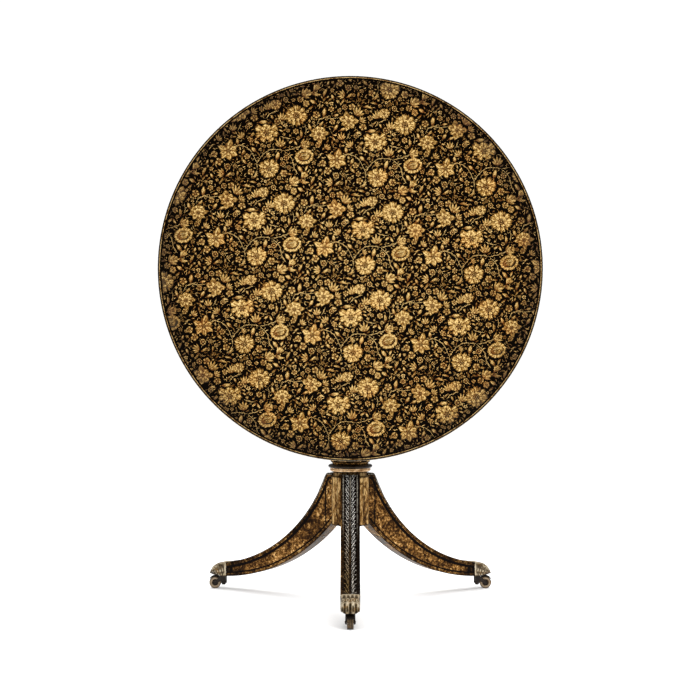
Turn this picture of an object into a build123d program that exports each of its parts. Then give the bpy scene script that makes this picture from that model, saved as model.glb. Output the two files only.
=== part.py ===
from build123d import *
import math
import os

# Tilt top table: a round top on a turned pedestal with three sabre legs on casters. Millimetres.
# The pedestal's axis is the Z axis and meets the floor at the origin. +Z is up and -Y is the front.
# At rest the top stands upright and faces the front. Tilted by 90 degrees it lies level, for use.

os.makedirs("parts", exist_ok=True)

# ---- Top, bearers and pivot ----
USE_HEIGHT = 762.0  # from the floor to the face of the level top
TOP_DIAMETER = 914.0
TOP_THICKNESS = 24.0
RIM_WIDTH = 7.0
RIM_EDGE_RADIUS = 3.0
BLOCK_WIDTH = 194.0
BLOCK_THICKNESS = 32.0
BLOCK_CORNER_RADIUS = 18.0  # front top edge of the block, which the top rolls around
BLOCK_CHAMFER = 3.0
PIVOT_DEPTH = 16.0  # from the pivot's axis to the block's front and to its top
BEARER_GAP = 1.0  # between a bearer and the side of the block
BEARER_WIDTH = 24.0
BEARER_DEPTH = 44.0
BEARER_LENGTH = 640.0
BEARER_END_DEPTH = 16.0
BEARER_TAPER_LENGTH = 60.0
BEARER_SCREW_SPACING = 250.0
BUSH_OUTER_RADIUS = 8.0
BUSH_FLANGE_RADIUS = 12.0
BUSH_FLANGE_THICKNESS = 2.0
PIVOT_RADIUS = 6.0
PIVOT_CLEARANCE = 0.05
PIVOT_DEPTH_IN_BLOCK = 40.0
PIVOT_HEAD_RADIUS = 10.0
PIVOT_HEAD_THICKNESS = 4.0
PIVOT_SLOT_WIDTH = 2.0
PIVOT_SLOT_DEPTH = 1.5
FREE_GAP = 0.3  # between faces that pass each other

# ---- Table catch ----
CATCH_BOLT_DEPTH = 9.0  # from the underside to the bolt's centre line
CATCH_BOLT_WIDTH = 16.0
CATCH_BOLT_THICKNESS = 6.0
CATCH_BOLT_LENGTH = 95.0
CATCH_TIP_GAP = 5.0  # from the drawn-back bolt's tip to the back of the block
CATCH_SIDE_GAP = 0.15
CATCH_PLATE_WIDTH = 44.0
CATCH_PLATE_LENGTH = 96.0
CATCH_PLATE_THICKNESS = 2.0
CATCH_PLATE_GAP = 8.0
CATCH_GUIDE_WIDTH = 26.0
CATCH_GUIDE_DEPTH = 15.0
CATCH_GUIDE_LENGTH = 10.0
CATCH_GUIDE_STARTS = (5.0, 64.0)  # along the plate
CATCH_KNOB_PLACE = 50.0  # from the bolt's tip
CATCH_KNOB_RADIUS = 7.0
CATCH_KNOB_NECK_RADIUS = 3.0
CATCH_KNOB_HEIGHT = 18.0
CATCH_SCREW_X = 17.0
CATCH_SCREW_PLACES = (27.0, 84.0)  # along the plate
STRIKE_WIDTH = 44.0
STRIKE_HEIGHT = 17.0
STRIKE_THICKNESS = 1.5
STRIKE_SCREW_X = 16.0
STRIKE_SLOT_PLAY = 0.5
STRIKE_MORTISE_DEPTH = 13.0

# ---- Pedestal ----
DRUM_RADIUS = 45.0
DRUM_BOTTOM = 184.0
DRUM_COVE_BOTTOM = 303.0
DRUM_NECK_RADIUS = 41.0
DRUM_TOP = 314.0
COLLAR_RADIUS = 53.75
COLLAR_FLAT_RADIUS = 46.0
COLLAR_TOP = 331.5
SPIGOT_RADIUS = 18.0
SPIGOT_BOTTOM = 250.0
TENON_RADIUS = 25.0
WEDGE_WIDTH = 40.0
WEDGE_TOP_THICKNESS = 5.0
WEDGE_BOTTOM_THICKNESS = 2.0
WEDGE_HEIGHT = 26.0

# ---- Legs, drawn in a plane through the pedestal's axis as (distance from the axis, height) ----
LEG_AZIMUTHS = {"front": -90.0, "left": 150.0, "right": 30.0}
LEG_TOP_ARC = (410.6, 443.8, 378.0)  # centre and radius of the curve along the top of a leg
LEG_BOTTOM_ARC = (379.0, 485.5, 451.7)  # centre and radius of the curve along its underside
LEG_TOP = 310.0
LEG_SHOULDER_RADIUS = 12.0
LEG_INNER = 30.0
LEG_END = 354.0
LEG_WIDTH_AT_AXIS = 46.5
LEG_WIDTH_AT_END = 44.5
DOVETAIL_TOP = 288.0
DOVETAIL_BOTTOM = 190.0
DOVETAIL_NECK = 16.0
DOVETAIL_FLARE = 24.0
DOVETAIL_INNER = 30.0
TONGUE_LENGTH = 32.0
TONGUE_WIDTH = 30.0
TONGUE_BOTTOM = 42.0
TONGUE_TOP = 56.0

# ---- Iron plate under the pedestal ----
SPIDER_THICKNESS = 3.0
SPIDER_RADIUS = 30.0
SPIDER_ARM_WIDTH = 18.0
SPIDER_ARM_END = 95.0
SPIDER_DRUM_SCREW_RADIUS = 20.0
SPIDER_LEG_SCREW_RADIUS = 76.0

# ---- Paw caps ----
CAP_BOTTOM = 34.0
CAP_TOE = 412.0
CAP_TOE_ROUNDING = 16.0
CAP_WIDTH_AT_LEG = 45.0
CAP_WIDTH_AT_TOE = 43.0

# ---- Casters ----
CASTER_RADIUS_FROM_AXIS = 375.0
CASTER_TRAIL = 21.3
CASTER_TRAIL_AZIMUTHS = {"front": -90.0, "left": 180.0, "right": 0.0}
STEM_RADIUS = 3.5
STEM_TOP = 54.0
STEM_NUB_RADIUS = 5.2
STEM_NUB_BOTTOM = 9.0
STEM_NUB_TOP = 13.0
SWIVEL_CLEARANCE = 0.05
FORK_HEAD_RADIUS = 8.5
FORK_YOKE_BACK = 6.0
FORK_YOKE_FRONT = 5.0
FORK_YOKE_BOTTOM = 20.0
FORK_ARM_THICKNESS = 3.4
FORK_BOSS_RADIUS = 5.0
WHEEL_RADIUS = 15.0
WHEEL_WIDTH = 14.6
WHEEL_EDGE_RADIUS = 1.5
WHEEL_RECESS_DEPTH = 2.0
WHEEL_RECESS_INNER = 5.5
WHEEL_RECESS_OUTER = 11.5
WHEEL_GAP = 0.6
AXLE_RADIUS = 2.0
AXLE_CLEARANCE = 0.06
AXLE_HEAD_RADIUS = 3.2
AXLE_HEAD_THICKNESS = 1.0

# ---- Screws: (head radius, head height, shank radius, shank length) ----
BEARER_SCREW = (4.5, 3.0, 2.2, 44.0)
SMALL_SCREW = (3.4, 1.6, 1.6, 14.0)
BEARER_COUNTERBORE = 12.0
SCREW_SLOT_WIDTH = 1.0
SCREW_SLOT_SHARE = 0.5  # of the head's height

# ---- Derived places ----
BLOCK_TOP = USE_HEIGHT - TOP_THICKNESS
BLOCK_BOTTOM = BLOCK_TOP - BLOCK_THICKNESS
BLOCK_BACK_Y = BLOCK_WIDTH / 2
UNDERSIDE_Y = -BLOCK_WIDTH / 2
FACE_Y = UNDERSIDE_Y - TOP_THICKNESS
PIVOT_Y = UNDERSIDE_Y + PIVOT_DEPTH
PIVOT_Z = BLOCK_TOP - PIVOT_DEPTH
TOP_CENTRE_Z = PIVOT_Z - PIVOT_Y  # so that the level top is centred over the pedestal
PANEL_RADIUS = TOP_DIAMETER / 2 - RIM_WIDTH
BEARER_INNER_X = BLOCK_WIDTH / 2 + BEARER_GAP
BEARER_OUTER_X = BEARER_INNER_X + BEARER_WIDTH
BEARER_BACK_Y = UNDERSIDE_Y + BEARER_DEPTH
CATCH_ORIGIN_Z = PIVOT_Z + BLOCK_BACK_Y - PIVOT_Y  # where the block's back meets the level top
CATCH_TIP_Z = CATCH_ORIGIN_Z + CATCH_TIP_GAP
CATCH_PLATE_Z = CATCH_ORIGIN_Z + CATCH_PLATE_GAP
CATCH_BOLT_Z = BLOCK_TOP - CATCH_BOLT_DEPTH  # height of the bolt when the top is level
STEM_LENGTH = STEM_TOP - STEM_NUB_TOP
FORK_TOP = CAP_BOTTOM - FREE_GAP
FORK_BOTTOM = STEM_NUB_TOP + FREE_GAP
FORK_ARM_INNER = WHEEL_WIDTH / 2 + FREE_GAP
FORK_ARM_OUTER = FORK_ARM_INNER + FORK_ARM_THICKNESS

SIDES = {"left": -1, "right": 1}
UNDERSIDE = Plane.XZ.offset(-UNDERSIDE_Y)  # looks to the front, in (x, z)
BEARER_BACK = Plane.XZ.offset(-BEARER_BACK_Y)
BEARER_SCREW_POINTS = [
    (side * (BEARER_INNER_X + BEARER_WIDTH / 2), TOP_CENTRE_Z + step * BEARER_SCREW_SPACING)
    for side in SIDES.values()
    for step in (-1, 0, 1)
]
CATCH_SCREW_POINTS = [
    (side * CATCH_SCREW_X, CATCH_PLATE_Z + place)
    for side in SIDES.values()
    for place in CATCH_SCREW_PLACES
]
STRIKE_SCREW_POINTS = [(side * STRIKE_SCREW_X, CATCH_BOLT_Z) for side in SIDES.values()]


def save(part, name):
    part.label = name
    export_step(part, f"parts/{name}.step")


def screw(sizes):
    """A slotted screw that points down -Z, with the underside of its head at the origin."""
    head_radius, head_height, shank_radius, shank_length = sizes
    with BuildPart() as one:
        with BuildSketch():
            Circle(head_radius)
        extrude(amount=head_height)
        with BuildSketch():
            Circle(shank_radius)
        extrude(amount=-shank_length)
        with BuildSketch(Plane.XY.offset(head_height)):
            Rectangle(2 * head_radius, SCREW_SLOT_WIDTH)
        extrude(amount=-head_height * SCREW_SLOT_SHARE, mode=Mode.SUBTRACT)
    return one.part


def leg_plane(azimuth):
    """The upright plane of a leg: x runs outwards from the pedestal's axis and y runs up."""
    angle = math.radians(azimuth)
    outwards = (math.cos(angle), math.sin(angle), 0)
    return Plane(origin=(0, 0, 0), x_dir=outwards, z_dir=(math.sin(angle), -math.cos(angle), 0))


def plan_plane(azimuth, height=0.0):
    """A level plane with x along the leg."""
    angle = math.radians(azimuth)
    return Plane(origin=(0, 0, height), x_dir=(math.cos(angle), math.sin(angle), 0), z_dir=(0, 0, 1))


def on_arc(arc, distance, inset=0.0):
    """The point of a leg's curve at this distance from the axis, moved inset towards its centre."""
    centre, height, radius = arc
    radius -= inset
    return (distance, height - math.sqrt(radius**2 - (distance - centre) ** 2))


def arc_reaches(arc, height, inset=0.0):
    """How far from the axis a leg's curve passes this height."""
    centre, arc_height, radius = arc
    radius -= inset
    return centre - math.sqrt(radius**2 - (arc_height - height) ** 2)


def spider_arm_outline(inner):
    """Outline of an arm of the iron plate, which lies flush in the underside of a leg."""
    turn = arc_reaches(LEG_BOTTOM_ARC, DRUM_BOTTOM, SPIDER_THICKNESS)
    lower_turn = arc_reaches(LEG_BOTTOM_ARC, DRUM_BOTTOM - SPIDER_THICKNESS)
    middle = (turn + SPIDER_ARM_END) / 2
    upper_end = on_arc(LEG_BOTTOM_ARC, SPIDER_ARM_END, SPIDER_THICKNESS)
    lower_end = on_arc(LEG_BOTTOM_ARC, SPIDER_ARM_END)
    lower_start = (lower_turn, DRUM_BOTTOM - SPIDER_THICKNESS)
    with BuildSketch() as outline:
        with BuildLine():
            Line((inner, DRUM_BOTTOM), (turn, DRUM_BOTTOM))
            ThreePointArc((turn, DRUM_BOTTOM), on_arc(LEG_BOTTOM_ARC, middle, SPIDER_THICKNESS), upper_end)
            Line(upper_end, lower_end)
            ThreePointArc(lower_end, on_arc(LEG_BOTTOM_ARC, middle), lower_start)
            Line(lower_start, (inner, DRUM_BOTTOM - SPIDER_THICKNESS))
            Line((inner, DRUM_BOTTOM - SPIDER_THICKNESS), (inner, DRUM_BOTTOM))
        make_face()
    return outline.sketch


def dovetail_outline(inner, bottom_width, neck_width):
    """Plan of a leg's dovetail: wide at its inner end and narrow at the face of the drum."""
    with BuildSketch() as outline:
        with BuildLine():
            Polyline(
                (inner, -bottom_width / 2),
                (DRUM_RADIUS + 1, -neck_width / 2),
                (DRUM_RADIUS + 1, neck_width / 2),
                (inner, bottom_width / 2),
                close=True,
            )
        make_face()
    return outline.sketch


# ---- Top: panel and rim ----
with BuildPart() as tabletop_panel:
    with BuildSketch(UNDERSIDE):
        with Locations((0, TOP_CENTRE_Z)):
            Circle(PANEL_RADIUS)
    extrude(amount=TOP_THICKNESS)
    with BuildSketch(UNDERSIDE):
        with Locations(*BEARER_SCREW_POINTS):
            Circle(BEARER_SCREW[2])
    extrude(amount=BEARER_SCREW[3] + BEARER_COUNTERBORE - BEARER_DEPTH, mode=Mode.SUBTRACT)
    with BuildSketch(UNDERSIDE):
        with Locations(*CATCH_SCREW_POINTS):
            Circle(SMALL_SCREW[2])
    extrude(amount=SMALL_SCREW[3] - CATCH_PLATE_THICKNESS, mode=Mode.SUBTRACT)
save(tabletop_panel.part, "tabletop_panel")

with BuildPart() as rim_moulding:
    with BuildSketch(Plane.YZ):
        with Locations(((FACE_Y + UNDERSIDE_Y) / 2, TOP_CENTRE_Z + PANEL_RADIUS + RIM_WIDTH / 2)):
            rim_section = Rectangle(TOP_THICKNESS, RIM_WIDTH)
        fillet(rim_section.vertices().group_by(Axis.Y)[-1], RIM_EDGE_RADIUS)
    revolve(axis=Axis((0, 0, TOP_CENTRE_Z), (0, 1, 0)))
save(rim_moulding.part, "rim_moulding")

# ---- Bearers, their screws and the pivots ----
for side, sign in SIDES.items():
    inner_face = Plane.YZ.offset(sign * BEARER_INNER_X)
    half_length = BEARER_LENGTH / 2
    with BuildPart() as bearer:
        with BuildSketch(inner_face):
            with BuildLine():
                Polyline(
                    (UNDERSIDE_Y, TOP_CENTRE_Z - half_length),
                    (UNDERSIDE_Y + BEARER_END_DEPTH, TOP_CENTRE_Z - half_length),
                    (BEARER_BACK_Y, TOP_CENTRE_Z - half_length + BEARER_TAPER_LENGTH),
                    (BEARER_BACK_Y, TOP_CENTRE_Z + half_length - BEARER_TAPER_LENGTH),
                    (UNDERSIDE_Y + BEARER_END_DEPTH, TOP_CENTRE_Z + half_length),
                    (UNDERSIDE_Y, TOP_CENTRE_Z + half_length),
                    close=True,
                )
            make_face()
        extrude(amount=sign * BEARER_WIDTH)
        with BuildSketch(inner_face):
            with Locations((PIVOT_Y, PIVOT_Z)):
                Circle(BUSH_OUTER_RADIUS)
        extrude(amount=sign * BEARER_WIDTH, mode=Mode.SUBTRACT)
        with BuildSketch(BEARER_BACK):
            with Locations(*BEARER_SCREW_POINTS):
                Circle(BEARER_SCREW[2])
        extrude(amount=BEARER_DEPTH, mode=Mode.SUBTRACT)
        with BuildSketch(BEARER_BACK):
            with Locations(*BEARER_SCREW_POINTS):
                Circle(BEARER_SCREW[0])
        extrude(amount=BEARER_COUNTERBORE, mode=Mode.SUBTRACT)
    save(bearer.part, f"bearer_{side}")

    with BuildPart() as bush:
        with BuildSketch(inner_face):
            with Locations((PIVOT_Y, PIVOT_Z)):
                Circle(BUSH_OUTER_RADIUS)
        extrude(amount=sign * BEARER_WIDTH)
        with BuildSketch(Plane.YZ.offset(sign * BEARER_OUTER_X)):
            with Locations((PIVOT_Y, PIVOT_Z)):
                Circle(BUSH_FLANGE_RADIUS)
        extrude(amount=sign * BUSH_FLANGE_THICKNESS)
        with BuildSketch(inner_face):
            with Locations((PIVOT_Y, PIVOT_Z)):
                Circle(PIVOT_RADIUS + PIVOT_CLEARANCE)
        extrude(amount=sign * (BEARER_WIDTH + BUSH_FLANGE_THICKNESS), mode=Mode.SUBTRACT)
    save(bush.part, f"pivot_bush_{side}")

    head_x = BEARER_OUTER_X + BUSH_FLANGE_THICKNESS + FREE_GAP
    with BuildPart() as pivot_bolt:
        with BuildSketch(Plane.YZ.offset(sign * (BLOCK_WIDTH / 2 - PIVOT_DEPTH_IN_BLOCK))):
            with Locations((PIVOT_Y, PIVOT_Z)):
                Circle(PIVOT_RADIUS)
        extrude(amount=sign * (head_x - BLOCK_WIDTH / 2 + PIVOT_DEPTH_IN_BLOCK))
        with BuildSketch(Plane.YZ.offset(sign * head_x)):
            with Locations((PIVOT_Y, PIVOT_Z)):
                Circle(PIVOT_HEAD_RADIUS)
        extrude(amount=sign * PIVOT_HEAD_THICKNESS)
        with BuildSketch(Plane.YZ.offset(sign * (head_x + PIVOT_HEAD_THICKNESS))):
            with Locations((PIVOT_Y, PIVOT_Z)):
                Rectangle(2 * PIVOT_HEAD_RADIUS, PIVOT_SLOT_WIDTH, rotation=45)
        extrude(amount=-sign * PIVOT_SLOT_DEPTH, mode=Mode.SUBTRACT)
    save(pivot_bolt.part, f"pivot_bolt_{side}")

bearer_screw = screw(BEARER_SCREW)
with BuildPart() as bearer_screws:
    for x, z in BEARER_SCREW_POINTS:
        seat = Plane(origin=(x, BEARER_BACK_Y - BEARER_COUNTERBORE, z), z_dir=(0, 1, 0))
        with Locations(seat):
            add(bearer_screw)
save(bearer_screws.part, "bearer_screws")

# ---- Table catch on the underside: a plate with two guides, and a sliding bolt with a knob ----
bolt_y = UNDERSIDE_Y + CATCH_BOLT_DEPTH
with BuildPart() as catch_plate:
    with BuildSketch(UNDERSIDE):
        with Locations((0, CATCH_PLATE_Z + CATCH_PLATE_LENGTH / 2)):
            RectangleRounded(CATCH_PLATE_WIDTH, CATCH_PLATE_LENGTH, CATCH_KNOB_NECK_RADIUS)
        with Locations(*CATCH_SCREW_POINTS):
            Circle(SMALL_SCREW[2], mode=Mode.SUBTRACT)
    extrude(amount=-CATCH_PLATE_THICKNESS)
    for start in CATCH_GUIDE_STARTS:
        with BuildSketch(Plane.XY.offset(CATCH_PLATE_Z + start)):
            with Locations((0, UNDERSIDE_Y + CATCH_GUIDE_DEPTH / 2)):
                Rectangle(CATCH_GUIDE_WIDTH, CATCH_GUIDE_DEPTH)
            with Locations((0, bolt_y)):
                Rectangle(
                    CATCH_BOLT_WIDTH + 2 * CATCH_SIDE_GAP,
                    CATCH_BOLT_THICKNESS + 2 * CATCH_SIDE_GAP,
                    mode=Mode.SUBTRACT,
                )
        extrude(amount=CATCH_GUIDE_LENGTH)
save(catch_plate.part, "catch_plate")

with BuildPart() as catch_bolt:
    with BuildSketch(Plane.XY.offset(CATCH_TIP_Z)):
        with Locations((0, bolt_y)):
            Rectangle(CATCH_BOLT_WIDTH, CATCH_BOLT_THICKNESS)
    extrude(amount=CATCH_BOLT_LENGTH)
    chamfer(catch_bolt.edges().group_by(Axis.Z)[0].filter_by(Axis.X), CATCH_BOLT_THICKNESS / 4)
save(catch_bolt.part, "catch_bolt")

knob_seat = bolt_y + CATCH_BOLT_THICKNESS / 2
knob_neck_height = CATCH_KNOB_HEIGHT - CATCH_KNOB_RADIUS
with BuildPart() as catch_knob:
    with BuildSketch(Plane.XZ.offset(-knob_seat)):
        with Locations((0, CATCH_TIP_Z + CATCH_KNOB_PLACE)):
            Circle(CATCH_KNOB_NECK_RADIUS)
    extrude(amount=-knob_neck_height)
    with Locations((0, knob_seat + knob_neck_height, CATCH_TIP_Z + CATCH_KNOB_PLACE)):
        Sphere(CATCH_KNOB_RADIUS)
save(catch_knob.part, "catch_knob")

small_screw = screw(SMALL_SCREW)
with BuildPart() as catch_screws:
    for x, z in CATCH_SCREW_POINTS:
        with Locations(Plane(origin=(x, UNDERSIDE_Y + CATCH_PLATE_THICKNESS, z), z_dir=(0, 1, 0))):
            add(small_screw)
save(catch_screws.part, "catch_screws")

# ---- Block on top of the column, with the pivot bores and the strike for the catch ----
with BuildPart() as top_block:
    with BuildSketch(Plane.XY.offset(BLOCK_BOTTOM)):
        Rectangle(BLOCK_WIDTH, BLOCK_WIDTH)
    extrude(amount=BLOCK_THICKNESS)
    front_top = top_block.edges().filter_by(Axis.X).group_by(Axis.Z)[-1].sort_by(Axis.Y)[0]
    fillet(front_top, BLOCK_CORNER_RADIUS)
    chamfer(top_block.edges().group_by(Axis.Z)[0], BLOCK_CHAMFER)
    with BuildSketch(Plane.XY.offset(BLOCK_BOTTOM)):
        Circle(TENON_RADIUS)
    extrude(amount=BLOCK_THICKNESS, mode=Mode.SUBTRACT)
    for sign in SIDES.values():
        with BuildSketch(Plane.YZ.offset(sign * BLOCK_WIDTH / 2)):
            with Locations((PIVOT_Y, PIVOT_Z)):
                Circle(PIVOT_RADIUS)
        extrude(amount=-sign * PIVOT_DEPTH_IN_BLOCK, mode=Mode.SUBTRACT)
    with BuildSketch(Plane.XZ.offset(-BLOCK_BACK_Y)):
        with Locations((0, CATCH_BOLT_Z)):
            Rectangle(CATCH_BOLT_WIDTH + 2 * STRIKE_SLOT_PLAY, CATCH_BOLT_THICKNESS + 2 * STRIKE_SLOT_PLAY)
    extrude(amount=STRIKE_MORTISE_DEPTH, mode=Mode.SUBTRACT)
    with BuildSketch(Plane.XZ.offset(-BLOCK_BACK_Y)):
        with Locations(*STRIKE_SCREW_POINTS):
            Circle(SMALL_SCREW[2])
    extrude(amount=SMALL_SCREW[3] - STRIKE_THICKNESS, mode=Mode.SUBTRACT)
save(top_block.part, "top_block")

with BuildPart() as strike_plate:
    with BuildSketch(Plane.XZ.offset(-BLOCK_BACK_Y)):
        with Locations((0, CATCH_BOLT_Z)):
            Rectangle(STRIKE_WIDTH, STRIKE_HEIGHT)
            Rectangle(
                CATCH_BOLT_WIDTH + 2 * STRIKE_SLOT_PLAY,
                CATCH_BOLT_THICKNESS + 2 * STRIKE_SLOT_PLAY,
                mode=Mode.SUBTRACT,
            )
        with Locations(*STRIKE_SCREW_POINTS):
            Circle(SMALL_SCREW[2], mode=Mode.SUBTRACT)
    extrude(amount=-STRIKE_THICKNESS)
save(strike_plate.part, "strike_plate")

with BuildPart() as strike_screws:
    for x, z in STRIKE_SCREW_POINTS:
        with Locations(Plane(origin=(x, BLOCK_BACK_Y + STRIKE_THICKNESS, z), z_dir=(0, 1, 0))):
            add(small_screw)
save(strike_screws.part, "strike_screws")

# ---- Column: spigot, vase, shaft, capital and the tenon through the block ----
with BuildPart() as column:
    with BuildSketch(Plane.XZ):
        with BuildLine():
            Line((0, SPIGOT_BOTTOM), (SPIGOT_RADIUS, SPIGOT_BOTTOM))
            Line((SPIGOT_RADIUS, SPIGOT_BOTTOM), (SPIGOT_RADIUS, COLLAR_TOP))
            Line((SPIGOT_RADIUS, COLLAR_TOP), (43, COLLAR_TOP))
            ThreePointArc((43, COLLAR_TOP), (44, 335), (48, 338))
            ThreePointArc((48, 338), (61, 392), (38, 470))
            Line((38, 470), (41, 474))
            ThreePointArc((41, 474), (46, 481), (41, 488))
            Line((41, 488), (34, 491))
            ThreePointArc((34, 491), (32, 570), (27, 648))
            Line((27, 648), (33, 651))
            ThreePointArc((33, 651), (38, 657.5), (33, 664))
            Line((33, 664), (29, 667))
            ThreePointArc((29, 667), (34, 689), (50, 697))
            Line((50, 697), (50, BLOCK_BOTTOM))
            Line((50, BLOCK_BOTTOM), (TENON_RADIUS, BLOCK_BOTTOM))
            Line((TENON_RADIUS, BLOCK_BOTTOM), (TENON_RADIUS, BLOCK_TOP))
            Line((TENON_RADIUS, BLOCK_TOP), (0, BLOCK_TOP))
            Line((0, BLOCK_TOP), (0, SPIGOT_BOTTOM))
        make_face()
    revolve(axis=Axis.Z)
    with BuildSketch(Plane.XZ) as wedge_slot:
        with BuildLine():
            Polyline(
                (-WEDGE_TOP_THICKNESS / 2, BLOCK_TOP),
                (WEDGE_TOP_THICKNESS / 2, BLOCK_TOP),
                (WEDGE_BOTTOM_THICKNESS / 2, BLOCK_TOP - WEDGE_HEIGHT),
                (-WEDGE_BOTTOM_THICKNESS / 2, BLOCK_TOP - WEDGE_HEIGHT),
                close=True,
            )
        make_face()
    extrude(amount=WEDGE_WIDTH / 2, both=True, mode=Mode.SUBTRACT)
save(column.part, "column")

with BuildPart() as tenon_wedge:
    add(extrude(wedge_slot.sketch, amount=WEDGE_WIDTH / 2, both=True, mode=Mode.PRIVATE))
save(tenon_wedge.part, "tenon_wedge")

# ---- Collar ring and the drum that holds the legs ----
collar_middle = (DRUM_TOP + COLLAR_TOP) / 2
with BuildPart() as collar_ring:
    with BuildSketch(Plane.XZ):
        with BuildLine():
            Line((SPIGOT_RADIUS, DRUM_TOP), (COLLAR_FLAT_RADIUS, DRUM_TOP))
            ThreePointArc(
                (COLLAR_FLAT_RADIUS, DRUM_TOP), (COLLAR_RADIUS, collar_middle), (COLLAR_FLAT_RADIUS, COLLAR_TOP)
            )
            Line((COLLAR_FLAT_RADIUS, COLLAR_TOP), (SPIGOT_RADIUS, COLLAR_TOP))
            Line((SPIGOT_RADIUS, COLLAR_TOP), (SPIGOT_RADIUS, DRUM_TOP))
        make_face()
    revolve(axis=Axis.Z)
save(collar_ring.part, "collar_ring")

with BuildPart() as drum:
    with BuildSketch(Plane.XZ):
        with BuildLine():
            Polyline(
                (SPIGOT_RADIUS, DRUM_TOP),
                (SPIGOT_RADIUS, SPIGOT_BOTTOM),
                (0, SPIGOT_BOTTOM),
                (0, DRUM_BOTTOM),
                (DRUM_RADIUS, DRUM_BOTTOM),
                (DRUM_RADIUS, DRUM_COVE_BOTTOM),
                (DRUM_NECK_RADIUS, DRUM_COVE_BOTTOM + 4),
                (DRUM_NECK_RADIUS, DRUM_TOP),
                close=True,
            )
        make_face()
    revolve(axis=Axis.Z)
    for azimuth in LEG_AZIMUTHS.values():
        with BuildSketch(plan_plane(azimuth, DRUM_BOTTOM)):
            add(dovetail_outline(DOVETAIL_INNER, DOVETAIL_FLARE, DOVETAIL_NECK))
        extrude(amount=DOVETAIL_TOP - DRUM_BOTTOM, mode=Mode.SUBTRACT)
        with BuildSketch(plan_plane(azimuth, DRUM_BOTTOM)):
            with Locations((SPIDER_DRUM_SCREW_RADIUS, 0)):
                Circle(SMALL_SCREW[2])
        extrude(amount=SMALL_SCREW[3] - SPIDER_THICKNESS, mode=Mode.SUBTRACT)
save(drum.part, "drum")


def spider_leg_seat(azimuth):
    """The plane on the outside of an arm of the iron plate where its screw sits, facing outwards."""
    place, height = on_arc(LEG_BOTTOM_ARC, SPIDER_LEG_SCREW_RADIUS)
    centre, centre_height, _ = LEG_BOTTOM_ARC
    upright = leg_plane(azimuth)
    origin = upright.from_local_coords((place, height, 0))
    towards_centre = upright.from_local_coords((centre, centre_height, 0)) - origin
    return Plane(origin=origin, z_dir=towards_centre * -1)


# ---- Iron plate with three arms under the drum, and its screws ----
arm = spider_arm_outline(0)
with BuildPart() as spider_plate:
    with BuildSketch(Plane.XY.offset(DRUM_BOTTOM - SPIDER_THICKNESS)):
        Circle(SPIDER_RADIUS)
    extrude(amount=SPIDER_THICKNESS)
    for azimuth in LEG_AZIMUTHS.values():
        with BuildSketch(leg_plane(azimuth)):
            add(arm)
        extrude(amount=SPIDER_ARM_WIDTH / 2, both=True)
    for azimuth in LEG_AZIMUTHS.values():
        with BuildSketch(spider_leg_seat(azimuth)):
            Circle(SMALL_SCREW[2])
        extrude(amount=2 * SPIDER_THICKNESS, both=True, mode=Mode.SUBTRACT)
        with BuildSketch(plan_plane(azimuth, DRUM_BOTTOM - SPIDER_THICKNESS)):
            with Locations((SPIDER_DRUM_SCREW_RADIUS, 0)):
                Circle(SMALL_SCREW[2])
        extrude(amount=SPIDER_THICKNESS, mode=Mode.SUBTRACT)
save(spider_plate.part, "spider_plate")

with BuildPart() as spider_screws:
    for azimuth in LEG_AZIMUTHS.values():
        with Locations(spider_leg_seat(azimuth)):
            add(small_screw)
        under_drum = plan_plane(azimuth).from_local_coords(
            (SPIDER_DRUM_SCREW_RADIUS, 0, DRUM_BOTTOM - SPIDER_THICKNESS)
        )
        with Locations(Plane(origin=under_drum, z_dir=(0, 0, -1))):
            add(small_screw)
save(spider_screws.part, "spider_screws")

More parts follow.
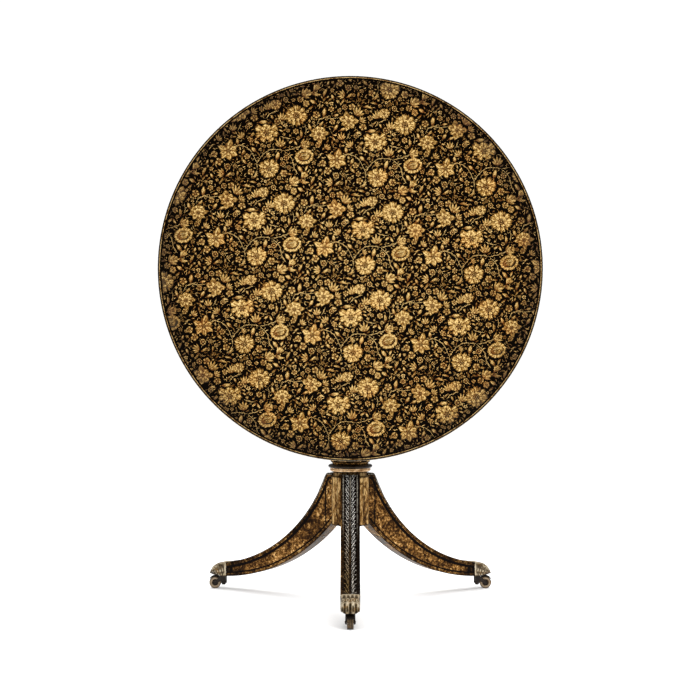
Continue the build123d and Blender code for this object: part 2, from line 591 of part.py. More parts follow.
# ---- Legs: sabre curve, dovetail at the drum, tongue for the cap ----
leg_shoulder = arc_reaches(LEG_TOP_ARC, LEG_TOP)
leg_middle = (LEG_INNER + LEG_END) / 2
for name, azimuth in LEG_AZIMUTHS.items():
    upright = leg_plane(azimuth)
    with BuildPart() as leg:
        with BuildSketch(upright):
            with BuildLine():
                Line((LEG_INNER, LEG_TOP), (leg_shoulder, LEG_TOP))
                ThreePointArc(
                    (leg_shoulder, LEG_TOP), on_arc(LEG_TOP_ARC, leg_middle), on_arc(LEG_TOP_ARC, LEG_END)
                )
                Line(on_arc(LEG_TOP_ARC, LEG_END), on_arc(LEG_BOTTOM_ARC, LEG_END))
                ThreePointArc(
                    on_arc(LEG_BOTTOM_ARC, LEG_END),
                    on_arc(LEG_BOTTOM_ARC, leg_middle),
                    on_arc(LEG_BOTTOM_ARC, LEG_INNER),
                )
                Line(on_arc(LEG_BOTTOM_ARC, LEG_INNER), (LEG_INNER, LEG_TOP))
            outline = make_face()
            shoulder_corner = outline.vertices().sort_by_distance((leg_shoulder, LEG_TOP))[0]
            fillet(shoulder_corner, LEG_SHOULDER_RADIUS)
        extrude(amount=LEG_WIDTH_AT_AXIS, both=True)
        with BuildSketch(plan_plane(azimuth)):
            with BuildLine():
                Polyline(
                    (0, -LEG_WIDTH_AT_AXIS / 2),
                    (LEG_END, -LEG_WIDTH_AT_END / 2),
                    (LEG_END, LEG_WIDTH_AT_END / 2),
                    (0, LEG_WIDTH_AT_AXIS / 2),
                    close=True,
                )
            make_face()
        extrude(amount=LEG_TOP, mode=Mode.INTERSECT)
        with BuildSketch():
            Circle(DRUM_RADIUS)
        extrude(amount=LEG_TOP, mode=Mode.SUBTRACT)
        with BuildSketch(plan_plane(azimuth, DOVETAIL_BOTTOM)):
            add(dovetail_outline(DOVETAIL_INNER, DOVETAIL_FLARE, DOVETAIL_NECK))
        extrude(amount=DOVETAIL_TOP - DOVETAIL_BOTTOM)
        with BuildSketch(upright):
            with Locations((LEG_END + TONGUE_LENGTH / 2, (TONGUE_BOTTOM + TONGUE_TOP) / 2)):
                Rectangle(TONGUE_LENGTH, TONGUE_TOP - TONGUE_BOTTOM)
        extrude(amount=TONGUE_WIDTH / 2, both=True)
        with BuildSketch(plan_plane(azimuth, TONGUE_BOTTOM)):
            with Locations((CASTER_RADIUS_FROM_AXIS, 0)):
                Circle(STEM_RADIUS)
        extrude(amount=STEM_TOP - TONGUE_BOTTOM, mode=Mode.SUBTRACT)
        with BuildSketch(upright):
            add(spider_arm_outline(DOVETAIL_INNER))
        extrude(amount=SPIDER_ARM_WIDTH / 2, both=True, mode=Mode.SUBTRACT)
        with BuildSketch(spider_leg_seat(azimuth)):
            Circle(SMALL_SCREW[2])
        extrude(amount=-SMALL_SCREW[3], mode=Mode.SUBTRACT)
    save(leg.part, f"leg_{name}")

# ---- Paw caps over the ends of the legs ----
for name, azimuth in LEG_AZIMUTHS.items():
    upright = leg_plane(azimuth)
    cap_top = on_arc(LEG_TOP_ARC, LEG_END)
    with BuildPart() as paw_cap:
        with BuildSketch(upright):
            with BuildLine():
                Line((LEG_END, CAP_BOTTOM), (386, CAP_BOTTOM))
                Line((386, CAP_BOTTOM), (405, 37))
                ThreePointArc((405, 37), (411.5, 40), (409, 47))
                ThreePointArc((409, 47), (389, 60), cap_top)
                Line(cap_top, (LEG_END, CAP_BOTTOM))
            make_face()
        extrude(amount=CAP_WIDTH_AT_LEG, both=True)
        with BuildSketch(plan_plane(azimuth)):
            with BuildLine():
                Polyline(
                    (LEG_END, -CAP_WIDTH_AT_LEG / 2),
                    (CAP_TOE, -CAP_WIDTH_AT_TOE / 2),
                    (CAP_TOE, CAP_WIDTH_AT_TOE / 2),
                    (LEG_END, CAP_WIDTH_AT_LEG / 2),
                    close=True,
                )
            plan = make_face()
            fillet(plan.vertices().group_by(Axis.X)[-1], CAP_TOE_ROUNDING)
        extrude(amount=LEG_TOP, mode=Mode.INTERSECT)
        with BuildSketch(upright):
            with Locations((LEG_END + TONGUE_LENGTH / 2, (TONGUE_BOTTOM + TONGUE_TOP) / 2)):
                Rectangle(TONGUE_LENGTH, TONGUE_TOP - TONGUE_BOTTOM)
        extrude(amount=TONGUE_WIDTH / 2, both=True, mode=Mode.SUBTRACT)
        with BuildSketch(plan_plane(azimuth, CAP_BOTTOM)):
            with Locations((CASTER_RADIUS_FROM_AXIS, 0)):
                Circle(STEM_RADIUS)
        extrude(amount=TONGUE_BOTTOM - CAP_BOTTOM, mode=Mode.SUBTRACT)
    save(paw_cap.part, f"paw_cap_{name}")

# ---- Casters: fixed stem, swivelling fork, axle and wheel ----
for name, azimuth in LEG_AZIMUTHS.items():
    stem_place = plan_plane(azimuth).from_local_coords((CASTER_RADIUS_FROM_AXIS, 0, 0))
    trail = math.radians(CASTER_TRAIL_AZIMUTHS[name])
    trail_direction = Vector(math.cos(trail), math.sin(trail), 0)
    across = Vector(math.sin(trail), -math.cos(trail), 0)
    level = Plane(origin=stem_place, x_dir=trail_direction, z_dir=(0, 0, 1))
    side_view = Plane(origin=stem_place, x_dir=trail_direction, z_dir=across)

    with BuildPart() as stem:
        with BuildSketch(level.offset(STEM_NUB_TOP)):
            Circle(STEM_RADIUS)
        extrude(amount=STEM_LENGTH)
        with BuildSketch(level.offset(STEM_NUB_BOTTOM)):
            Circle(STEM_NUB_RADIUS)
        extrude(amount=STEM_NUB_TOP - STEM_NUB_BOTTOM)
    save(stem.part, f"caster_stem_{name}")

    with BuildPart() as fork:
        with BuildSketch(level.offset(FORK_BOTTOM)):
            Circle(FORK_HEAD_RADIUS)
        extrude(amount=FORK_TOP - FORK_BOTTOM)
        with BuildSketch(side_view):
            with BuildLine():
                Polyline(
                    (-FORK_YOKE_BACK, FORK_YOKE_BOTTOM),
                    (-FORK_YOKE_BACK, FORK_TOP),
                    (FORK_YOKE_FRONT + FREE_GAP, FORK_TOP),
                    (CASTER_TRAIL + FORK_BOSS_RADIUS, WHEEL_RADIUS + FREE_GAP),
                    (CASTER_TRAIL + FORK_BOSS_RADIUS, WHEEL_RADIUS - FREE_GAP),
                    (CASTER_TRAIL - FREE_GAP, WHEEL_RADIUS - FORK_BOSS_RADIUS),
                    (FORK_YOKE_FRONT, FORK_YOKE_BOTTOM),
                    close=True,
                )
            make_face()
            with Locations((CASTER_TRAIL, WHEEL_RADIUS)):
                Circle(FORK_BOSS_RADIUS)
        extrude(amount=FORK_ARM_OUTER, both=True)
        with BuildSketch(side_view):
            with Locations((CASTER_TRAIL, WHEEL_RADIUS)):
                Circle(WHEEL_RADIUS + WHEEL_GAP)
        extrude(amount=FORK_ARM_INNER, both=True, mode=Mode.SUBTRACT)
        with BuildSketch(side_view):
            with Locations((CASTER_TRAIL, WHEEL_RADIUS)):
                Circle(AXLE_RADIUS)
        extrude(amount=FORK_ARM_OUTER, both=True, mode=Mode.SUBTRACT)
        with BuildSketch(level):
            Circle(STEM_RADIUS + SWIVEL_CLEARANCE)
        extrude(amount=FORK_TOP, mode=Mode.SUBTRACT)
    save(fork.part, f"caster_fork_{name}")

    with BuildPart() as axle:
        with BuildSketch(side_view):
            with Locations((CASTER_TRAIL, WHEEL_RADIUS)):
                Circle(AXLE_RADIUS)
        extrude(amount=FORK_ARM_OUTER, both=True)
        for end in (side_view.offset(FORK_ARM_OUTER), side_view.offset(-FORK_ARM_OUTER - AXLE_HEAD_THICKNESS)):
            with BuildSketch(end):
                with Locations((CASTER_TRAIL, WHEEL_RADIUS)):
                    Circle(AXLE_HEAD_RADIUS)
            extrude(amount=AXLE_HEAD_THICKNESS)
    save(axle.part, f"caster_axle_{name}")

    with BuildPart() as wheel:
        with BuildSketch(side_view):
            with Locations((CASTER_TRAIL, WHEEL_RADIUS)):
                Circle(WHEEL_RADIUS)
        extrude(amount=WHEEL_WIDTH / 2, both=True)
        fillet(wheel.edges(), WHEEL_EDGE_RADIUS)
        for face in (side_view.offset(WHEEL_WIDTH / 2), side_view.offset(WHEEL_RECESS_DEPTH - WHEEL_WIDTH / 2)):
            with BuildSketch(face):
                with Locations((CASTER_TRAIL, WHEEL_RADIUS)):
                    Circle(WHEEL_RECESS_OUTER)
                    Circle(WHEEL_RECESS_INNER, mode=Mode.SUBTRACT)
            extrude(amount=-WHEEL_RECESS_DEPTH, mode=Mode.SUBTRACT)
        with BuildSketch(side_view):
            with Locations((CASTER_TRAIL, WHEEL_RADIUS)):
                Circle(AXLE_RADIUS + AXLE_CLEARANCE)
        extrude(amount=WHEEL_WIDTH / 2, both=True, mode=Mode.SUBTRACT)
    save(wheel.part, f"caster_wheel_{name}")
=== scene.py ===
import math

import bmesh
import bpy
import numpy as np
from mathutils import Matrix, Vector


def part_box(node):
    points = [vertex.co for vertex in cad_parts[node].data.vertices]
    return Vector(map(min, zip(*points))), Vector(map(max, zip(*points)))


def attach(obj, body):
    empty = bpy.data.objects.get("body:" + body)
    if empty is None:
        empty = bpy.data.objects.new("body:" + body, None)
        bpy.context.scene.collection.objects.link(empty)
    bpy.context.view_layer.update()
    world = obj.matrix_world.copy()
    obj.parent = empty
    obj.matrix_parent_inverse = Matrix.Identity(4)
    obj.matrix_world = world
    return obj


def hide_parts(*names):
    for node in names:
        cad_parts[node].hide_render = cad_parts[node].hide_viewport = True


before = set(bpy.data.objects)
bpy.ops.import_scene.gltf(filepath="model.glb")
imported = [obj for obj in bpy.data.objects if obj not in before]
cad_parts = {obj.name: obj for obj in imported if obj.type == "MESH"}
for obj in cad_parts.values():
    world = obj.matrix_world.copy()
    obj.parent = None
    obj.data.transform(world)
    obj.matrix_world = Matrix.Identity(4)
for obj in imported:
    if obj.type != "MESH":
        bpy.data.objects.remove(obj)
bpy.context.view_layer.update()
MM = 0.001
panel_low, panel_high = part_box("tabletop_panel")
FACE_Y = panel_low.y
TOP_Z = (panel_low.z + panel_high.z) / 2 / MM  # mm, the middle of the upright top
PATTERN_RADIUS = (panel_high.x - panel_low.x) / 2 / MM - 3.4  # mm, inside the rim's gold line
BACK_Y = panel_high.y - 3 * MM  # the panel shows wood behind this depth
PIECE_TRIANGLES = 185000  # a piece of the flowers is closed when it has this many
rng = np.random.default_rng(36)


# ---------------------------------------------------------------- node helpers
class Paint:
    """A material's node tree, with short calls for the nodes that the finishes use."""

    def __init__(self, name):
        self.material = bpy.data.materials.new(name)
        self.material.use_nodes = True
        self.tree = self.material.node_tree
        self.tree.nodes.clear()
        self.out = self.node("ShaderNodeOutputMaterial")
        self.shader = self.node("ShaderNodeBsdfPrincipled")
        self.tree.links.new(self.shader.outputs[0], self.out.inputs[0])

    def node(self, kind, **values):
        made = self.tree.nodes.new(kind)
        for key, value in values.items():
            setattr(made, key, value)
        return made

    def plug(self, socket, value):
        if isinstance(value, bpy.types.NodeSocket):
            self.tree.links.new(value, socket)
        elif isinstance(value, tuple) and len(value) == 3 and socket.type == "RGBA":
            socket.default_value = (*value, 1.0)
        else:
            socket.default_value = value

    def place(self):
        return self.node("ShaderNodeTexCoord").outputs["Object"]

    def attribute(self, name, output="Fac"):
        return self.node("ShaderNodeAttribute", attribute_name=name).outputs[output]

    def split(self, vector):
        made = self.node("ShaderNodeSeparateXYZ")
        self.plug(made.inputs[0], vector)
        return made.outputs[0], made.outputs[1], made.outputs[2]

    def stretched(self, vector, scale):
        made = self.node("ShaderNodeMapping")
        self.plug(made.inputs["Vector"], vector)
        made.inputs["Scale"].default_value = scale
        return made.outputs[0]

    def noise(self, vector, scale, detail=4.0, rough=0.55, twist=0.0):
        made = self.node("ShaderNodeTexNoise")
        self.plug(made.inputs["Vector"], vector)
        for key, value in (("Scale", scale), ("Detail", detail), ("Roughness", rough), ("Distortion", twist)):
            made.inputs[key].default_value = value
        return made.outputs["Fac"]

    def cells(self, vector, scale):
        made = self.node("ShaderNodeTexVoronoi", feature="SMOOTH_F1")
        self.plug(made.inputs["Vector"], vector)
        made.inputs["Scale"].default_value = scale
        return made.outputs["Distance"]

    def calc(self, kind, a, b=0.0, c=0.0):
        made = self.node("ShaderNodeMath", operation=kind)
        for socket, value in zip(made.inputs, (a, b, c)):
            self.plug(socket, value)
        return made.outputs[0]

    def plus(self, a, b):
        return self.calc("ADD", a, b)

    def times(self, a, b):
        return self.calc("MULTIPLY", a, b)

    def scaled(self, a, b, c):
        """a times b, plus c."""
        return self.calc("MULTIPLY_ADD", a, b, c)

    def step(self, value, low, high, to_low=0.0, to_high=1.0):
        made = self.node("ShaderNodeMapRange", interpolation_type="SMOOTHSTEP")
        for key, given in (("Value", value), ("From Min", low), ("From Max", high)):
            self.plug(made.inputs[key], given)
        made.inputs["To Min"].default_value = to_low
        made.inputs["To Max"].default_value = to_high
        return made.outputs[0]

    def ramp(self, value, stops):
        made = self.node("ShaderNodeValToRGB")
        self.plug(made.inputs[0], value)
        elements = made.color_ramp.elements
        while len(elements) < len(stops):
            elements.new(0.5)
        for element, (place, colour) in zip(elements, stops):
            element.position = place
            element.color = (*colour, 1.0)
        return made.outputs[0]

    def mix(self, share, a, b, blend="MIX"):
        made = self.node("ShaderNodeMix", data_type="RGBA", blend_type=blend)
        self.plug(made.inputs[0], share)
        self.plug(made.inputs[6], a)
        self.plug(made.inputs[7], b)
        return made.outputs[2]

    def bump(self, height, strength, distance):
        made = self.node("ShaderNodeBump")
        made.inputs["Strength"].default_value = strength
        made.inputs["Distance"].default_value = distance
        self.plug(made.inputs["Height"], height)
        self.plug(self.shader.inputs["Normal"], made.outputs[0])

    def finish(self, colour, rough, metal=0.0, **constants):
        self.plug(self.shader.inputs["Base Color"], colour)
        self.plug(self.shader.inputs["Roughness"], rough)
        self.plug(self.shader.inputs["Metallic"], metal)
        for key, value in constants.items():
            self.shader.inputs[key.replace("_", " ")].default_value = value
        return self.material


def srgb(r, g, b):
    """A colour given as 0 to 255 sRGB, in linear light."""
    return tuple(
        c / 255 / 12.92 if c <= 10.3 else ((c / 255 + 0.055) / 1.055) ** 2.4 for c in (r, g, b)
    )


# ---------------------------------------------------------------- finishes
def gold_leaf():
    """Gold paint with brown outlines and veins. The point attribute petal holds across, along and tone."""
    p = Paint("gold_flowers")
    across, along, tone = p.split(p.attribute("petal", "Vector"))
    place = p.place()
    side = p.calc("ABSOLUTE", across)
    wobble = p.scaled(p.noise(place, 300.0, 2.0), 0.6, -0.3)
    outline = p.step(p.plus(p.calc("MAXIMUM", side, along), wobble), 0.76, 0.98)
    inner = p.step(p.calc("ABSOLUTE", p.plus(p.times(side, 1.15), p.times(wobble, 0.5))), 0.66, 0.74)
    lining = p.times(inner, p.step(side, 0.92, 0.80))
    rib = p.times(p.step(p.plus(side, wobble), 0.20, 0.06), p.step(along, 0.86, 0.60))
    root = p.step(p.plus(along, p.times(wobble, 0.6)), 0.46, 0.12)
    fan = p.calc("SINE", p.scaled(across, 11.0, p.times(wobble, 8.0)))
    veins = p.times(p.step(fan, 0.0, 0.9), p.step(along, 0.86, 0.5))
    wear_and_sheen = p.noise(place, 110.0, 5.0, 0.65)
    flecks = p.step(p.noise(place, 430.0, 3.0, 0.7), 0.50, 0.62)
    light = p.scaled(wear_and_sheen, 0.50, p.scaled(across, 0.13, p.plus(tone, 0.05)))
    for share, part in (
        (0.55, outline), (0.20, lining), (0.40, rib), (0.26, root), (0.28, veins), (0.22, flecks)
    ):
        light = p.scaled(part, -share, light)
    x, _, z = p.split(place)
    reach = p.calc("SQRT", p.scaled(x, x, p.calc("POWER", p.calc("SUBTRACT", z, TOP_Z * MM), 2.0)))
    # Painted shade: the flowers darken from the middle of the disc towards its edge.
    light = p.scaled(p.step(reach, 0.12, 0.42), -0.12, light)
    # Painted shade: a band along the rim is darker still, and is mixed towards grey-brown further down.
    rim_shade = p.step(reach, 0.395, 0.450)
    light = p.scaled(rim_shade, -0.12, light)
    colour = p.ramp(
        light,
        [
            (0.0, srgb(14, 6, 2)),
            (0.20, srgb(52, 30, 9)),
            (0.42, srgb(108, 73, 26)),
            (0.66, srgb(160, 121, 58)),
            (1.0, srgb(228, 196, 130)),
        ],
    )
    colour = p.mix(p.times(root, 0.55), colour, srgb(104, 56, 18))
    warm = p.step(p.noise(place, 16.0, 2.0), 0.50, 0.70)
    colour = p.mix(p.times(warm, 0.30), colour, srgb(176, 108, 44), "SOFT_LIGHT")
    # Painted shade at the rim: the gold turns grey-brown.
    colour = p.mix(p.times(rim_shade, 0.4), colour, srgb(74, 66, 52))
    p.bump(p.plus(wear_and_sheen, p.times(veins, -0.6)), 0.35, 0.0002)
    rough = p.step(wear_and_sheen, 0.2, 0.8, 0.42, 0.58)
    return p.finish(colour, rough, 0.15, Specular_IOR_Level=0.06)


def mottle(p, place, gilt, painted_sheen, shade, spread):
    """The mottled gold shared by drum, legs and column. gilt is 0 where the lacquer stays black, and the
    second mask is where the black is painted light grey, a painted highlight for the gloss of the lacquer."""
    patches = p.scaled(
        p.noise(place, 17.0, 2.0), 0.62, p.scaled(p.noise(place, 105.0, 5.0, 0.66, 1.0), 0.86, -0.22)
    )
    grains = p.noise(place, 300.0, 4.0, 0.7)
    marks = p.cells(place, 150.0)
    value = p.scaled(grains, 0.60, p.times(patches, 0.72))
    value = p.scaled(marks, -0.22, value)
    value = p.step(value, shade, shade + spread)
    gold = p.ramp(
        value,
        [
            (0.0, srgb(24, 12, 4)),
            (0.30, srgb(66, 42, 17)),
            (0.55, srgb(120, 82, 38)),
            (0.80, srgb(176, 129, 69)),
            (1.0, srgb(250, 210, 142)),
        ],
    )
    rough = p.step(value, 0.0, 1.0, 0.34, 0.50)
    metal = p.step(value, 0.3, 0.9, 0.0, 0.2)
    lacquer = p.mix(patches, srgb(4, 2, 1), srgb(16, 8, 4))
    # Painted highlight: the black lacquer is painted light grey where the mask and the grain allow, in place
    # of reflections on its gloss.
    wear_and_sheen = p.times(painted_sheen, p.step(grains, 0.36, 0.62))
    lacquer = p.mix(wear_and_sheen, lacquer, srgb(142, 136, 124))
    gold = p.mix(gilt, lacquer, gold)
    rough = p.scaled(p.calc("SUBTRACT", 1.0, gilt), -0.08, rough)
    metal = p.times(metal, gilt)
    p.bump(value, 0.35, 0.0004)
    return p.finish(gold, rough, metal, Specular_IOR_Level=0.035)


def gilded(name="gilded_carving", upright=1.0, shade=0.40, spread=0.41):
    """Mottled gold where the point attribute gilt is 1, and glossy black lacquer where it is 0."""
    p = Paint(name)
    return mottle(
        p, p.stretched(p.place(), (1.0, 1.0, upright)), p.attribute("gilt"), p.attribute("painted_sheen"), shade, spread
    )


def carved_lacquer():
    """Black carving with a painted grey highlight on the crowns. The tone in petal turns the grey to old gold.
    """
    p = Paint("carved_lacquer")
    across, along, tone = p.split(p.attribute("petal", "Vector"))
    place = p.place()
    wear_and_sheen = p.noise(place, 260.0, 4.0, 0.65)
    crown = p.step(p.calc("ABSOLUTE", across), 0.75, 0.15)
    # Painted highlight: the crowns are painted pale grey where the noise allows, not at the tips.
    painted_sheen = p.times(crown, p.step(wear_and_sheen, 0.40, 0.54))
    painted_sheen = p.times(painted_sheen, p.step(along, 0.98, 0.70))
    light = p.mix(tone, srgb(230, 226, 218), srgb(152, 122, 76))
    colour = p.mix(painted_sheen, p.mix(tone, srgb(3, 2, 1), srgb(18, 10, 4)), light)
    p.bump(wear_and_sheen, 0.4, 0.0003)
    return p.finish(colour, 0.3, 0.0, Specular_IOR_Level=0.07)


def paw_brass(name="paw_brass", brown=0.0):
    """Antique brass, dark in the hollows; the point attribute crest is 1 on the high parts."""
    p = Paint(name)
    place = p.place()
    crest = p.attribute("crest")
    patina = p.noise(place, 170.0, 6.0, 0.68, 0.5)
    fine = p.noise(place, 620.0, 3.0, 0.65)
    value = p.scaled(crest, 0.62, p.scaled(fine, 0.70, p.times(patina, 0.60)))
    value = p.scaled(value, 1.35, -0.72)
    colour = p.ramp(
        value,
        [
            (0.0, srgb(14, 9, 5)),
            (0.25, srgb(50, 39, 23)),
            (0.50, srgb(96, 82, 60)),
            (0.75, srgb(146, 131, 105)),
            (1.0, srgb(196, 183, 158)),
        ],
    )
    gold = p.step(p.noise(place, 90.0, 3.0, 0.6), 0.50, 0.68)
    colour = p.mix(p.times(gold, 0.35), colour, srgb(150, 108, 48))
    colour = p.mix(brown, colour, srgb(150, 112, 76), "MULTIPLY")
    p.bump(value, 0.5, 0.0005)
    return p.finish(colour, p.step(patina, 0.3, 0.7, 0.32, 0.5), 0.35, Specular_IOR_Level=0.3)


def polished_ring():
    """Bright gold band under black lacquer, as on the ring above the legs."""
    p = Paint("polished_ring")
    place = p.place()
    gilt = p.attribute("gilt")
    wear_and_sheen = p.noise(place, 60.0, 5.0, 0.6)
    fine = p.noise(place, 380.0, 3.0, 0.6)
    gold = p.ramp(
        p.scaled(fine, 0.3, wear_and_sheen),
        [(0.38, srgb(96, 66, 36)), (0.60, srgb(178, 138, 92)), (0.85, srgb(236, 206, 166))],
    )
    lacquer = p.mix(wear_and_sheen, srgb(6, 4, 3), srgb(26, 18, 10))
    p.bump(p.scaled(fine, 0.4, wear_and_sheen), 0.25, 0.0003)
    return p.finish(
        p.mix(gilt, lacquer, gold), p.step(wear_and_sheen, 0.3, 0.7, 0.18, 0.34), p.times(gilt, 0.35),
        Specular_IOR_Level=0.15, Coat_Weight=0.05, Coat_Roughness=0.06,
    )


def stained_wood(name, dark, light, rough=0.46, coat=0.15):
    """Straight-grained stained wood, with the grain upright."""
    p = Paint(name)
    place = p.stretched(p.place(), (1.0, 1.0, 0.06))
    bands = p.noise(place, 55.0, 6.0, 0.6, 0.8)
    pores = p.noise(place, 420.0, 3.0, 0.6)
    value = p.scaled(pores, 0.45, p.times(bands, 0.65))
    colour = p.ramp(value, [(0.32, dark), (0.78, light)])
    p.bump(value, 0.35, 0.0004)
    return p.finish(
        colour, p.step(value, 0.2, 0.9, rough + 0.1, rough - 0.08), 0.0, Coat_Weight=coat, Coat_Roughness=0.3
    )


def lacquered_panel(front_edge):
    """The panel's own faces: lacquer in front, and stained wood behind front_edge, in metres."""
    p = Paint("panel_faces")
    place = p.place()
    _, y, _ = p.split(place)
    back = p.step(y, front_edge, front_edge + 0.0004)
    boards = p.noise(p.stretched(place, (1.0, 1.0, 0.03)), 9.0, 2.0)
    grain = p.noise(p.stretched(place, (1.0, 1.0, 0.05)), 70.0, 7.0, 0.62, 0.7)
    pores = p.noise(p.stretched(place, (1.0, 1.0, 0.08)), 520.0, 3.0, 0.6)
    value = p.scaled(pores, 0.35, p.scaled(boards, 0.35, p.times(grain, 0.50)))
    wood = p.ramp(value, [(0.38, srgb(24, 14, 9)), (0.62, srgb(58, 36, 22)), (0.80, srgb(88, 58, 36))])
    cloud = p.noise(place, 22.0, 5.0, 0.6)
    lacquer = p.mix(cloud, srgb(2, 1, 0.5), srgb(9, 4, 1))
    p.bump(value, 0.3, 0.0004)
    return p.finish(p.mix(back, lacquer, wood), p.scaled(back, 0.1, 0.42), 0.0, Specular_IOR_Level=0.03)


def metal(name, dark, light, rough=(0.25, 0.45), scale=90.0, metallic=1.0):
    """Aged metal: lighter where it is rubbed, darker and duller in patches."""
    p = Paint(name)
    place = p.place()
    patina = p.noise(place, scale, 6.0, 0.65, 0.4)
    scratches = p.noise(p.stretched(place, (1.0, 0.15, 1.0)), scale * 9, 3.0, 0.6)
    value = p.scaled(scratches, 0.25, p.times(patina, 0.85))
    colour = p.ramp(value, [(0.34, dark), (0.66, light)])
    p.bump(value, 0.22, 0.0003)
    return p.finish(colour, p.step(value, 0.3, 0.8, rough[1], rough[0]), metallic)


GOLD = gold_leaf()
LINED = gilded("rim_gilding", 1.0, 0.24)
STREAKED = gilded("streaked_gilding", 0.40, 0.355, 0.36)
GILDED = gilded()
CARVED = carved_lacquer()
POLISHED = polished_ring()
PAW = paw_brass()
WHEEL = paw_brass("wheel_brass", 0.55)
UNDERSIDE = lacquered_panel(BACK_Y)
BLACK_WOOD = stained_wood("black_stained_wood", srgb(16, 10, 7), srgb(62, 42, 28))
BARE_WOOD = stained_wood("wedge_wood", srgb(84, 54, 30), srgb(140, 98, 60), rough=0.6, coat=0.0)
BRASS = metal("catch_brass", srgb(120, 88, 42), srgb(206, 168, 98), (0.18, 0.40))
BRONZE = metal("dark_bronze", srgb(11, 8, 6), srgb(38, 29, 22), (0.34, 0.5), 120.0, 0.6)
STEEL = metal("screw_steel", srgb(58, 54, 50), srgb(130, 124, 116), (0.28, 0.5), 160.0)
IRON = metal("spider_iron", srgb(16, 15, 15), srgb(46, 44, 42), (0.45, 0.7), 80.0, 0.8)


# ---------------------------------------------------------------- mesh helpers
def linked(name, data):
    """A new object in the scene."""
    made = bpy.data.objects.new(name, data)
    bpy.context.scene.collection.objects.link(made)
    return made


def make_object(name, points, faces, material, body, replaces=(), values=None):
    """A mesh object from points in metres and faces, riding on a CAD body."""
    mesh = bpy.data.meshes.new(name)
    mesh.from_pydata([tuple(p) for p in np.asarray(points, float)], [], [tuple(f) for f in faces])
    mesh.validate()
    mesh.polygons.foreach_set("use_smooth", [True] * len(mesh.polygons))
    for key, given in (values or {}).items():
        given = np.asarray(given, np.float32)
        kind, field = ("FLOAT", "value") if given.ndim == 1 else ("FLOAT_VECTOR", "vector")
        mesh.attributes.new(key, kind, "POINT").data.foreach_set(field, given.ravel())
    mesh.materials.append(material)
    made = linked(name, mesh)
    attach(made, body)
    if replaces:
        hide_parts(*replaces)


def unit(value):
    """The value held between 0 and 1."""
    return np.clip(value, 0, 1)


def between(value, low, high, soft=0.3):
    """1 between low and high, 0 outside, with soft edges."""
    return unit((value - low) / soft + 0.5) * unit((high - value) / soft + 0.5)


def smoothstep(value, low, high):
    t = unit((value - low) / (high - low))
    return t * t * (3 - 2 * t)


def petal_topology(columns, rows):
    """Grid coordinates, faces and closed outline of one petal: a top, a skirt and a flat bottom."""
    u, v = np.meshgrid(np.linspace(-1, 1, columns + 1), np.linspace(0, 1, rows + 1))
    wide = columns + 1
    faces = [
        (j * wide + i, j * wide + i + 1, (j + 1) * wide + i + 1, (j + 1) * wide + i)
        for j in range(rows)
        for i in range(columns)
    ]
    loop = list(range(columns + 1))
    loop += [j * wide + columns for j in range(1, rows + 1)]
    loop += [rows * wide + i for i in range(columns - 1, -1, -1)]
    loop += [j * wide for j in range(rows - 1, 0, -1)]
    base = (rows + 1) * wide
    count = len(loop)
    for k in range(count):
        n = (k + 1) % count
        faces.append((loop[n], loop[k], base + k, base + n))
    faces.append(tuple(base + k for k in range(count - 1, -1, -1)))
    return u.ravel(), v.ravel(), np.array(loop), faces


TOPOLOGY = {"fine": petal_topology(8, 8), "plain": petal_topology(4, 5), "small": petal_topology(2, 4)}


def petal_points(rows, grid):
    """Points (x, y, height) and paint values of many petals at once, in mm.

    Each row: x, y, angle, length, half width, belly, fullness, tip, notch, bend, base height, height, tone.
    """
    u, v, loop, _ = TOPOLOGY[grid]
    rows = np.asarray(rows, float)
    x, y, angle, length, half, belly, full, tip, notch, bend, lift, high, tone = (c[:, None] for c in rows.T)
    swell = np.sin(np.pi * unit(v) ** belly) ** full
    floor = 0.16 * (1 - v) + tip * v
    width = half * np.sqrt(swell**2 + floor**2)
    width = width * (1 + 0.13 * np.sin(11.0 * v + 7.0 * angle + 1.4 * np.sign(u)))
    ruffle = 1 + 0.10 * np.cos(7.5 * u + 5.0 * angle) * v**2
    along = length * v * ruffle * (1 - notch * np.exp(-((u / 0.38) ** 2)) * v**3)
    across = u * width + bend * length * v**2
    px = x + along * np.cos(angle) - across * np.sin(angle)
    py = y + along * np.sin(angle) + across * np.cos(angle)
    crown = (1 - np.abs(u) ** 2.2) * (0.45 + 0.55 * np.sin(np.pi * np.clip(v, 0.06, 0.94)))
    height = lift + high * (0.35 + 0.65 * crown - 0.22 * np.exp(-((u / 0.16) ** 2)) * (v < 0.95))
    top = np.stack([px, py, height], -1)
    base = top[:, loop].copy()
    base[..., 2] = -0.12
    paint = np.stack([np.broadcast_to(u, px.shape), np.broadcast_to(v, px.shape), tone + 0 * px], -1)
    rim = paint[:, loop].copy()
    rim[..., 0] = 1.0
    return np.concatenate([top, base], 1), np.concatenate([paint, rim], 1)


# ---------------------------------------------------------------- flower pattern of the top
ROUND = (1.5, 0.62, 0.10)  # belly, fullness, tip
LEAFY = (0.95, 0.85, 0.03)
POINTED = (0.80, 0.80, 0.03)
DISC = (1.0, 0.5, 0.12)
LAYER = 0.09  # mm between the layers of a flower


def onward(x, y, angle, distance):
    """The point at a distance from (x, y) in the direction of an angle."""
    return x + distance * math.cos(angle), y + distance * math.sin(angle)


